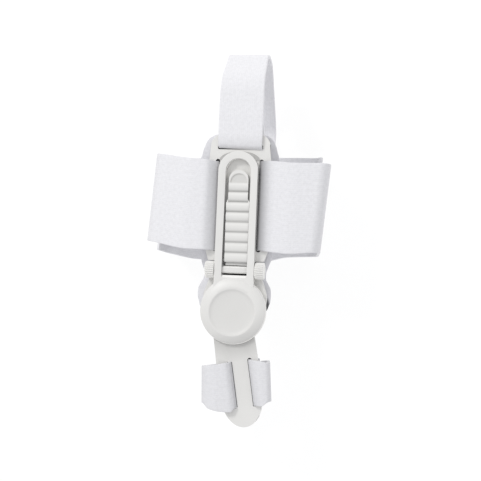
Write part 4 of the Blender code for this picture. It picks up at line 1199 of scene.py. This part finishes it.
class SPLINT_OT_ratchet_ladder(bpy.types.Operator):
    """Ladder of ratchet louvres with the thumb pocket at its end."""
    bl_idname = "splint.ratchet_ladder"
    bl_label = "Ratchet ladder"

    def execute(self, context):
        low, high = GAP, GAP + LADDER_THICKNESS
        half, tongue = LADDER_HALF_WIDTH, LADDER_TONGUE_HALF_WIDTH
        foot_y = LADDER_FOOT_Y - LADDER_FOOT_PLAY
        shoulder = foot_y + (LADDER_HEAD_Y - foot_y) * SHOULDER_SHARE
        tongue_y = shoulder + (half - tongue) * SHOULDER_SLOPE
        ladder = block("splint_ratchet_ladder", (-half, foot_y, low), (half, LADDER_HEAD_Y, high))
        bisect_at(ladder, shoulder)
        bisect_at(ladder, tongue_y)
        widen(ladder, lambda co: co.y > tongue_y - TOUCH, tongue / half)
        round_corners(ladder, lambda co: co.y > LADDER_HEAD_Y - NEAR, tongue * ROUND_END, 18)
        round_corners(ladder, lambda co: abs(co.y - shoulder) < TOUCH, SHOULDER_ROUND, 4)
        pocket_foot = LADDER_HEAD_Y - POCKET_RIM - POCKET_LENGTH
        stations = []
        for k in range(LOUVRE_COUNT):
            head_y = pocket_foot - FIRST_GROOVE - LOUVRE_PITCH * (k - 1)
            size = 1.0 if k < DEEP_LOUVRES else 0.5
            for row in LOUVRE_ROWS:
                y = head_y - LOUVRE_PITCH * row["along"]
                if foot_y + 2 * CLOSE < y < pocket_foot - CLOSE:
                    stations.insert(0, (y, row["drop"] * size, row["shade"]))
        marks, drops, shades = zip(*stations)
        for y in marks:
            bisect_at(ladder, y)
        for vert in ladder.data.vertices:
            if vert.co.z > high - TOUCH and marks[0] - TOUCH < vert.co.y < marks[-1] + TOUCH:
                vert.co.z -= between(vert.co.y, marks, drops)
        inner = tongue - POCKET_RIM * 0.8
        pocket = block(
            "pocket", (-inner, pocket_foot, high - POCKET_DEPTH),
            (inner, LADDER_HEAD_Y - POCKET_TIP, high + NEAR))
        round_corners(pocket, lambda co: co.y > LADDER_HEAD_Y - POCKET_TIP - NEAR, inner * ROUND_END, 16)
        combine(ladder, pocket)
        lip = block(
            "lip", (-half + LIP_LEFT_PLAY, AXLE_Y + LIP_FROM_AXLE, low),
            (half - LIP_RIGHT_PLAY, foot_y + LIP_LAP, high - LIP_DROP))
        combine(ladder, lip, "UNION")
        soften(ladder, SMALL_EDGE, 2, 50)
        is_edge = painted_highlight_edges(ladder)

        # Painted shade on the ladder's side walls, the pocket's floor, the lip and the louvres' grooves, and
        # a painted highlight round the pocket, on the louvres' crests and on rounded edges
        def depth(place, face):
            if abs(face.normal.z) < 0.4 and abs(place.x) > tongue - 2 * CLOSE:
                return LADDER_SIDE_SHADE * ramp(place.z, high, high - LADDER_SIDE_DROP)
            if place.y > pocket_foot - 2 * CLOSE and face.normal.z > 0.8:
                return POCKET_SHADE * ramp(place.z, high, high - POCKET_SHADE_DROP)
            if place.y > pocket_foot:
                return PAINTED_HIGHLIGHT
            if place.y < foot_y - CLOSE:
                return LIP_SHADE
            if face.normal.z > 0.2 and abs(face.center.x) < tongue / 2:
                return between(place.y, marks, shades)
            return 0.8 * PAINTED_HIGHLIGHT if is_edge(face) else 0.0

        mark(ladder, "recess", depth)
        for vert in ladder.data.vertices:
            vert.co.x += (half - vert.co.x) * LADDER_TAPER * ramp(vert.co.y, shoulder, foot_y)
        ladder.data.transform(Matrix.Translation((LADDER_SHIFT, 0, 0)))
        deliver(ladder, "shell_white", "splint", "ratchet_ladder", angle_deg=32)
        return {"FINISHED"}


class SPLINT_OT_thumb_axle(bpy.types.Operator):
    """Axle of the ratchet with a knurled wheel at each end."""
    bl_idname = "splint.thumb_axle"
    bl_label = "Thumb axle"

    def execute(self, context):
        inner = RING_HALF_WIDTH + GAP
        chamfer = KNURL_DEPTH
        sides = KNURL_COUNT * 4
        bar = WINDOW_HALF_WIDTH - BAR_END_PLAY
        axle = drum("splint_thumb_axle", AXLE_BAR_RADIUS, -bar, bar, sides, (0, 0), "X")
        wheel_steps = table(
            "along radius",
            (HAIR, AXLE_BAR_RADIUS), (inner - bar - HAIR, AXLE_BAR_RADIUS),
            (0.0, WHEEL_RADIUS - chamfer), (chamfer, WHEEL_RADIUS),
            (WHEEL_LENGTH - 2 * chamfer, WHEEL_RADIUS), (chamfer, WHEEL_RADIUS - chamfer),
            (0.0, WHEEL_RADIUS - WHEEL_DISH),
            (-WHEEL_HOLLOW, WHEEL_RADIUS - WHEEL_DISH - WHEEL_HOLLOW))
        edit(axle, "FACE")
        for side in (-1, 1):
            pick(axle, "faces", lambda face: face.normal.x * side > 0.9 and len(face.verts) == sides)
            radius = AXLE_BAR_RADIUS
            for step in wheel_steps:
                bpy.ops.mesh.extrude_region_move(
                    TRANSFORM_OT_translate={"value": (side * step["along"], 0, 0)})
                factor = step["radius"] / radius
                bpy.ops.transform.resize(value=(1, factor, factor))
                radius = step["radius"]
        bpy.ops.mesh.select_mode(type="VERT")
        turn = math.tau / sides
        least = WHEEL_RADIUS - chamfer * 1.5
        pick(axle, "verts", lambda vert: (
            vert.co.yz.length > least and round(math.atan2(vert.co.z, vert.co.y) / turn) % 4 in (0, 1)))
        factor = 1 - 1.3 * KNURL_DEPTH / WHEEL_RADIUS
        bpy.ops.transform.resize(value=(1, factor, factor), center_override=(0, 0, 0))
        for height in (-BAR_FLAT, BAR_FLAT):
            pick(axle, "verts", lambda vert: (
                abs(vert.co.x) < bar + TOUCH and vert.co.z * height > height ** 2))
            bpy.ops.transform.resize(value=(1, 1, 0), center_override=(0, 0, height))
        pick(axle, "verts", lambda vert: abs(vert.co.x) < bar + TOUCH)
        bpy.ops.transform.resize(value=(1, BAR_STRETCH, 1), center_override=(0, 0, 0))
        bpy.ops.transform.translate(value=(0, BAR_SHIFT, 0))
        leave_edit()
        valley = WHEEL_RADIUS * factor + HAIR

        # A painted highlight on the bar's upper slanting faces and on the wheels, with painted shade in the
        # knurls' valleys
        def depth(place, face):
            if abs(place.x) < inner:
                return PAINTED_HIGHLIGHT if 0.25 < face.normal.z < 0.95 else 0.0
            in_valley = WHEEL_RADIUS - 2 * chamfer < place.yz.length < valley
            return KNURL_SHADE if in_valley else PAINTED_HIGHLIGHT

        mark(axle, "recess", depth)
        axle.data.transform(Matrix.Translation((0, AXLE_Y, AXLE_HEIGHT)))
        deliver(axle, "shell_white", "axle", "thumb_axle", angle_deg=25)
        return {"FINISHED"}


class SPLINT_OT_hinge(bpy.types.Operator):
    """Housing of the toe hinge, and its pin."""
    bl_idname = "splint.hinge"
    bl_label = "Hinge housing and pin"

    def execute(self, context):
        low, high = HOUSING_TOP - HOUSING_THICKNESS, HOUSING_TOP
        top = KNOB_UNDERSIDE - GAP
        head_y = KNOB_RADIUS - HOUSING_HEAD_INSET
        cheek_y = head_y * 0.5
        housing = drum("splint_hinge_housing", HOUSING_RADIUS, low, high, 96)
        cheeks = block("cheeks", (-CHEEK_HALF_WIDTH, 0.0, low), (CHEEK_HALF_WIDTH, head_y, high))
        bisect_at(cheeks, cheek_y)
        widen(cheeks, lambda co: co.y > head_y - NEAR, CHEEK_HEAD_HALF_WIDTH / CHEEK_HALF_WIDTH)
        widen(cheeks, lambda co: co.y < NEAR, CHEEK_FOOT_HALF_WIDTH / CHEEK_HALF_WIDTH)
        round_corners(cheeks, lambda co: co.y > head_y - NEAR, CHEEK_HEAD_ROUND, 4)
        round_corners(cheeks, lambda co: abs(co.y - cheek_y) < NEAR / 2, CHEEK_SIDE_ROUND, 5)
        combine(housing, cheeks, "UNION")
        wall = drum("wall", HOUSING_RADIUS, high - WALL_ROOT, top, 96)
        combine(wall, drum("wall_room", HOUSING_RADIUS - HOUSING_WALL, -THROUGH, THROUGH, 96))
        for corner in ((THROUGH, WALL_END_RIGHT, THROUGH), (0.0, WALL_END_LEFT, THROUGH)):
            combine(wall, block("wall_opening", (-THROUGH, -THROUGH, -THROUGH), corner))
        combine(housing, wall, "UNION")
        combine(housing, drum("pin_bore", PIN_RADIUS + BORE_PLAY, -THROUGH, THROUGH, 48))
        # Thin tray under the axle's slit, which carries a painted shadow
        tray = block(
            "tray", (-SHADOW_TRAY_HALF_WIDTH, head_y - NEAR, low),
            (SHADOW_TRAY_HALF_WIDTH, SHADOW_TRAY_HEAD_Y, low + SHADOW_TRAY_THICKNESS))
        shade_ends = (AXLE_Y - SHADOW_TRAY_FADE, AXLE_Y + SHADOW_TRAY_FADE)
        for y in shade_ends:
            bisect_at(tray, y)
        combine(housing, tray, "UNION")
        soften(housing, SMALL_EDGE, 2)

        # Full painted shadow on the tray on the knob's side of the axle, fading to a light painted shade on
        # the heel's side, and painted shade on the housing's top under the knob
        def depth(place, face):
            if place.y > head_y - CLOSE and place.z < low + SHADOW_TRAY_THICKNESS + 2 * CLOSE:
                return 1.0 - 0.92 * ramp(place.y, *shade_ends)
            under_knob = face.normal.z > 0.5 and place.xy.length < KNOB_RADIUS * 0.9
            return UNDER_KNOB_SHADE if under_knob else 0.0

        deliver(housing, "shell_white", "splint", "hinge_housing", depth)
        pin = drum("splint_hinge_pin", PIN_RADIUS, low, top, 64)
        soften(pin, PIN_EDGE, 3)
        deliver(pin, "shell_white", "splint", "hinge_pin")
        return {"FINISHED"}


class SPLINT_OT_toe_lever(bpy.types.Operator):
    """Toe lever with its root disc and the two slots of the toe strap."""
    bl_idname = "splint.toe_lever"
    bl_label = "Toe lever"

    def execute(self, context):
        half = LEVER_HALF_WIDTH
        tip_y = -(LEVER_LENGTH - LEVER_TIP_LENGTH)
        lever = block(
            "splint_toe_lever", (-half, tip_y - half, LEVER_UNDERSIDE), (half, LEVER_ROOT_Y, LEVER_TOP))
        bisect_at(lever, -KNOB_RADIUS * LEVER_WAIST_AT)
        widen(lever, lambda co: co.y > LEVER_ROOT_Y - NEAR, LEVER_WAIST)
        round_corners(lever, lambda co: co.y < tip_y - half + NEAR, half * ROUND_END, 28)
        edit(lever, "VERT")
        pick(lever, "verts", lambda vert: vert.co.y < tip_y - CLOSE)
        stretch = LEVER_TIP_LENGTH / half
        bpy.ops.transform.resize(value=(1, stretch, 1), center_override=(0, tip_y, 0))
        bpy.ops.mesh.select_all(action="SELECT")
        bpy.ops.transform.translate(value=(LEVER_SHIFT, 0, 0))
        leave_edit()
        combine(lever, drum("root", LEVER_ROOT_RADIUS, LEVER_UNDERSIDE, LEVER_TOP, 96), "UNION")
        web_reach = TOE_SLOT_WIDTH * 0.6
        for side in (-1, 1):
            slot_x = side * TOE_SLOT_X
            combine(lever, slot_cutter("toe_slot", slot_x, TOE_SLOT_Y, TOE_SLOT_WIDTH, TOE_SLOT_LENGTH))
            for end in (-1, 1):
                reach = TOE_SLOT_LENGTH / 2 + 2 * CLOSE
                low_y, high_y = sorted((TOE_SLOT_Y + end * reach, TOE_SLOT_Y + end * (reach - WEB_LENGTH)))
                # The web at the right slot's end towards the knob is only a low sheet, which carries a
                # painted shadow
                shadow_web = side == 1 and end == 1
                web_top = LEVER_UNDERSIDE + SHADOW_WEB_HEIGHT if shadow_web else LEVER_TOP
                web = block(
                    "web", (slot_x - web_reach, low_y, LEVER_UNDERSIDE),
                    (slot_x + web_reach, high_y, web_top))
                combine(lever, web, "UNION")
        combine(lever, drum("pin_bore", PIN_RADIUS + BORE_PLAY, -THROUGH, THROUGH, 48))
        soften(lever, context.scene.splint_shape.moulding_edge, 3)
        is_edge = painted_highlight_edges(lever)

        # Painted shade in the toe slots' walls and on the low web, a painted highlight on rounded edges, and
        # a painted shadow of the knob that fades down the lever
        def depth(place, face):
            sunk = abs(face.normal.z) < 0.5 or (face.normal.z > 0.5 and place.z < LEVER_UNDERSIDE + NEAR)
            if sunk and abs(abs(place.x) - TOE_SLOT_X) < web_reach and place.y < TOE_SLOT_Y * 0.6:
                return PAINTED_GAP_SHADE
            if is_edge(face):
                return 0.7 * PAINTED_HIGHLIGHT
            return LEVER_SHADE * (1 - ramp(place.xy.length, KNOB_RADIUS, KNOB_RADIUS + LEVER_SHADE_REACH))

        deliver(lever, "shell_white", "toe_unit", "toe_lever", depth, turn_deg=LEVER_REST_DEG)
        return {"FINISHED"}


class SPLINT_OT_pad(bpy.types.Operator):
    """Soft pad under the plate and the hinge, swollen under its cloth cover."""
    bl_idname = "splint.pad"
    bl_label = "Pad"

    def execute(self, context):
        swell = context.scene.splint_shape.pad_swell
        middle = PAD_TOP - PAD_THICKNESS / 2
        bpy.ops.object.select_all(action="DESELECT")
        bpy.ops.mesh.primitive_grid_add(x_subdivisions=PAD_COLUMNS, y_subdivisions=PAD_LINES, size=1)
        pad = added("splint_pad")
        marks = [row["along"] for row in PAD_ROWS]
        widths = [row["width"] for row in PAD_ROWS]
        for vert in pad.data.vertices:
            share = vert.co.y + 0.5
            half = PAD_HALF_WIDTH * between(share, marks, widths) + PAD_SIDE_PLAY
            y = PAD_FOOT_Y - PAD_END_PLAY + (PAD_HEAD_Y - PAD_FOOT_Y + 2 * PAD_END_PLAY) * share
            vert.co = (PAD_SHIFT + 2 * vert.co.x * half, y, middle)
        applied(pad, "SOLIDIFY", thickness=PAD_THICKNESS - 2 * swell, offset=0)
        applied(pad, "REMESH", mode="VOXEL", voxel_size=PAD_GRAIN)
        inflate(pad, swell)
        applied(pad, "SUBSURF", levels=1, render_levels=1)
        for vert in pad.data.vertices:
            share = ramp(vert.co.y, PAD_FOOT_Y, PAD_HEAD_Y)
            half = PAD_HALF_WIDTH * between(share, marks, widths)
            out = min(abs(vert.co.x - PAD_SHIFT) / half, 1.0)
            vert.co.z = middle + (vert.co.z - middle) * (1 - PAD_EDGE_THINNING * out ** PAD_EDGE_POWER)

        # Painted shade on the pad's top under the plate, fading out towards the plate's edges, and a painted
        # shadow under and just round the knob
        def depth(place, face):
            if place.z < middle:
                return 0.0
            outer, inner = (KNOB_RADIUS + reach for reach in KNOB_ON_PAD_REACH)
            under_knob = ramp(place.xy.length, outer, inner)
            waist = PAD_SHADE_WAIST * ramp(place.y, PLATE_FOOT_Y + PLATE_FLARE, PLATE_FOOT_Y)
            under_plate = ramp(PLATE_HALF_WIDTH - waist - abs(place.x), *PAD_SHADE_SIDES)
            under_plate *= ramp(PLATE_HEAD_Y - place.y, *PAD_SHADE_HEAD) if place.y > PLATE_FOOT_Y else 0.0
            return max(PAD_SHADE * under_plate, KNOB_ON_PAD_SHADE * under_knob)

        deliver(pad, "pad_cover_white", "splint", "pad", depth, 80, weigh=False)
        return {"FINISHED"}


def inflate(item, cap):
    """Swell a closed cover by pressure, with no point moving further than the cap."""
    start = [vert.co.copy() for vert in item.data.vertices]
    alone(item)
    cloth = item.modifiers.new("swell", "CLOTH")
    cloth.settings.quality = 6
    cloth.settings.use_pressure = True
    cloth.settings.uniform_pressure_force = PAD_PRESSURE
    cloth.settings.effector_weights.gravity = 0.0
    for number in range(1, PAD_SWELL_FRAMES + 1):
        bpy.context.scene.frame_set(number)
    bpy.ops.object.modifier_apply(modifier=cloth.name)
    bpy.context.scene.frame_set(1)
    for vert, before in zip(item.data.vertices, start):
        move = vert.co - before
        move.x *= PAD_SIDE_SWELL
        move.y *= PAD_SIDE_SWELL
        vert.co = before + move
        if move.length > cap:
            vert.co = before + move.normalized() * cap


class SPLINT_OT_heel_strap(bpy.types.Operator):
    """Narrow strap from the head of the base plate round the heel."""
    bl_idname = "splint.heel_strap"
    bl_label = "Heel strap"

    def execute(self, context):
        floor = -LOOP_DEPTH + HALF_STRAP
        on_midfoot = floor + 2 * LAP
        head = PLATE_HEAD_Y
        reach = HEEL_LOOP_REACH
        tail_front = STRAP_ON_FRONT - LAP
        lap_edge = MIDFOOT_Y + MIDFOOT_STRAP_WIDTH * (0.5 + MIDFOOT_LOOP["left"]["tail"]) + HEEL_LAP_PLAY
        fold = SIDE_SLOT_WIDTH / 2
        lean = HEEL_SLOT_LEAN_DEG
        rows = [
            bend("tail_end", head + HEEL_TAIL, tail_front, 0, lean=lean),
            bend("tail_lift", head + 0.0068, tail_front, 0.004, lean=lean),
            bend("tail_low", head + 0.0013, STRAP_BEHIND_PLATE, 0.004, lean=lean),
            bend("slot_back", HEEL_SLOT_Y, STRAP_BEHIND_PLATE, fold, lean=lean),
            bend("slot_front", HEEL_SLOT_Y, STRAP_ON_FRONT, fold, lean=lean),
            bend("rise", head + reach * 0.20, STRAP_ON_FRONT + 0.0006, 0.010, width=1.01),
            bend("shoulder", head + reach * 0.65, STRAP_ON_FRONT, 0.020, width=0.99),
            bend("crown", head + reach * 1.045, -LOOP_DEPTH * 0.33, 0.010, width=0.93),
            bend("crown_back", head + reach * 0.955, -LOOP_DEPTH * 0.55, 0.010, width=0.96),
            bend("floor", lap_edge + 0.0085, floor, 0.010),
            bend("climb", lap_edge, on_midfoot, 0.004),
            bend("lap_end", lap_edge - HEEL_END_LAP, on_midfoot, 0)]

        def ruling(station):
            y, height = station["place"]
            half = HEEL_STRAP_WIDTH * station["width"] / 2
            turn = math.radians(station["lean"])
            across = Vector((half * math.cos(turn), half * math.sin(turn), 0))
            return Vector((0, y, height)) - across, Vector((0, y, height)) + across

        # Painted shade on the strap's front, fading out from its slot towards the heel
        def depth(place, face):
            fade = 1 - ramp(place.y, HEEL_SLOT_Y, HEEL_SLOT_Y + HEEL_SHADE_REACH)
            return HEEL_SLOT_SHADE * fade if place.z > 0 else 0.0

        stations = strap_path(rows)
        middle = Vector((0, head + reach * 0.4, -LOOP_DEPTH / 2))
        strap = lay_strap("splint_heel_strap", stations, HEEL_STRAP_WIDTH, ruling, middle, depth)
        settle(strap)
        dress(strap, finish_named("elastic_knit_white"), "splint", "heel_strap")
        return {"FINISHED"}


class SPLINT_OT_midfoot_strap(bpy.types.Operator):
    """Wide strap through the side slots of the base plate, looped round the mid-foot."""
    bl_idname = "splint.midfoot_strap"
    bl_label = "Mid-foot strap"

    def execute(self, context):
        rows = loop_rows(SIDE_SLOT_X, SIDE_SLOT_WIDTH, STRAP_ON_FRONT, STRAP_BEHIND_PLATE, MIDFOOT_LOOP)
        stations = strap_path(rows)
        strap = lay_strap(
            "splint_midfoot_strap", stations, MIDFOOT_STRAP_WIDTH,
            loop_ruling(MIDFOOT_STRAP_WIDTH, MIDFOOT_Y), Vector((0, MIDFOOT_Y, -LOOP_DEPTH / 2)),
            slot_shade(SIDE_SLOT_X, 0.0085, 0.30, 0.66))
        settle(strap)
        dress(strap, finish_named("elastic_knit_white"), "splint", "midfoot_strap")
        return {"FINISHED"}


class SPLINT_OT_toe_strap(bpy.types.Operator):
    """Narrow strap through the slots of the toe lever, looped round the big toe."""
    bl_idname = "splint.toe_strap"
    bl_label = "Toe strap"

    def execute(self, context):
        front = LEVER_TOP + GAP + HALF_STRAP
        behind = LEVER_UNDERSIDE - GAP - HALF_STRAP
        rows = loop_rows(TOE_SLOT_X, TOE_SLOT_WIDTH, front, behind, TOE_LOOP)
        stations = strap_path(rows)
        strap = lay_strap(
            "splint_toe_strap", stations, TOE_STRAP_WIDTH, loop_ruling(TOE_STRAP_WIDTH, TOE_SLOT_Y),
            Vector((0, TOE_SLOT_Y, -TOE_LOOP["depth"] / 2)), slot_shade(TOE_SLOT_X, 0.004, 0.14, 0.14, 0.07))
        settle(strap, LEVER_REST_DEG)
        dress(strap, finish_named("elastic_knit_white"), "toe_unit", "toe_strap")
        return {"FINISHED"}


def area_light(name, power):
    place, size, colour = LIGHTS[name]
    bpy.ops.object.light_add(type="AREA", location=place)
    light = bpy.context.active_object
    light.name = name
    light.data.shape = "DISK"
    light.data.size = size
    light.data.energy = power
    light.data.color = colour
    aim = (Vector(place) - CAMERA_TARGET).to_track_quat("Z", "Y")
    light.rotation_euler = aim.to_euler()


class SPLINT_OT_studio(bpy.types.Operator):
    """Pale floor, soft lights and the camera."""
    bl_idname = "splint.studio"
    bl_label = "Studio"

    def execute(self, context):
        studio = context.scene.splint_studio
        bpy.ops.object.select_all(action="DESELECT")
        bpy.ops.mesh.primitive_plane_add(size=FLOOR_SIZE, location=(0, 0, FLOOR_HEIGHT))
        floor = added("studio_floor")
        bpy.ops.object.transform_apply(location=True, rotation=True, scale=True)
        paper = bpy.data.materials.new("studio_paper")
        paper.use_nodes = True
        shader = paper.node_tree.nodes["Principled BSDF"]
        shader.inputs["Base Color"].default_value = FLOOR_GREY
        shader.inputs["Roughness"].default_value = 0.95
        shader.inputs["Emission Color"].default_value = (1, 1, 1, 1)
        shader.inputs["Emission Strength"].default_value = FLOOR_GLOW
        floor.data.materials.append(paper)
        area_light("key_light", studio.key_power)
        area_light("fill_light", studio.fill_power)
        world = bpy.data.worlds.new("studio_surround")
        world.use_nodes = True
        shade = world.node_tree.nodes["Background"]
        shade.inputs["Color"].default_value = SURROUND_COLOUR
        shade.inputs["Strength"].default_value = studio.sky
        context.scene.world = world
        context.scene.view_settings.view_transform = "Standard"
        up = Vector((-math.sin(CAMERA_ROLL), math.cos(CAMERA_ROLL), 0))
        right = up.cross(CAMERA_BACK).normalized()
        up = CAMERA_BACK.cross(right)
        turn = Matrix((right, up, CAMERA_BACK)).transposed()
        bpy.ops.object.camera_add(
            location=CAMERA_TARGET + CAMERA_BACK * studio.distance, rotation=turn.to_euler())
        camera = bpy.context.active_object
        camera.name = "studio_camera"
        camera.data.lens = studio.lens
        camera.data.sensor_width = 36.0
        camera.data.clip_start = 0.01
        context.scene.camera = camera
        return {"FINISHED"}


PIECES = (
    SPLINT_OT_studio, SPLINT_OT_base_plate, SPLINT_OT_cover_frame, SPLINT_OT_ratchet_ladder,
    SPLINT_OT_thumb_axle, SPLINT_OT_hinge, SPLINT_OT_toe_lever, SPLINT_OT_pad,
    SPLINT_OT_midfoot_strap, SPLINT_OT_heel_strap, SPLINT_OT_toe_strap)


class SPLINT_PT_pieces(bpy.types.Panel):
    """Lists the settings and the pieces of the splint."""
    bl_idname = "SPLINT_PT_pieces"
    bl_label = "Bunion corrector"
    bl_space_type = "VIEW_3D"
    bl_region_type = "UI"
    bl_category = "Splint"

    def draw(self, context):
        layout = self.layout
        for group in (context.scene.splint_look, context.scene.splint_shape, context.scene.splint_studio):
            box = layout.box()
            for key in group.__annotations__:
                box.prop(group, key)
        column = layout.column(align=True)
        for piece in PIECES:
            column.operator(piece.bl_idname)


CLASSES = (SplintLook, SplintShape, SplintStudio, *PIECES, SPLINT_PT_pieces)


def register():
    for kind in CLASSES:
        bpy.utils.register_class(kind)
    bpy.types.Scene.splint_look = bpy.props.PointerProperty(type=SplintLook)
    bpy.types.Scene.splint_shape = bpy.props.PointerProperty(type=SplintShape)
    bpy.types.Scene.splint_studio = bpy.props.PointerProperty(type=SplintStudio)


def unregister():
    for name in ("splint_look", "splint_shape", "splint_studio"):
        delattr(bpy.types.Scene, name)
    for kind in reversed(CLASSES):
        bpy.utils.unregister_class(kind)


def main():
    register()
    for piece in PIECES:
        family, name = piece.bl_idname.split(".")
        getattr(getattr(bpy.ops, family), name)()


if __name__ == "__main__":
    main()
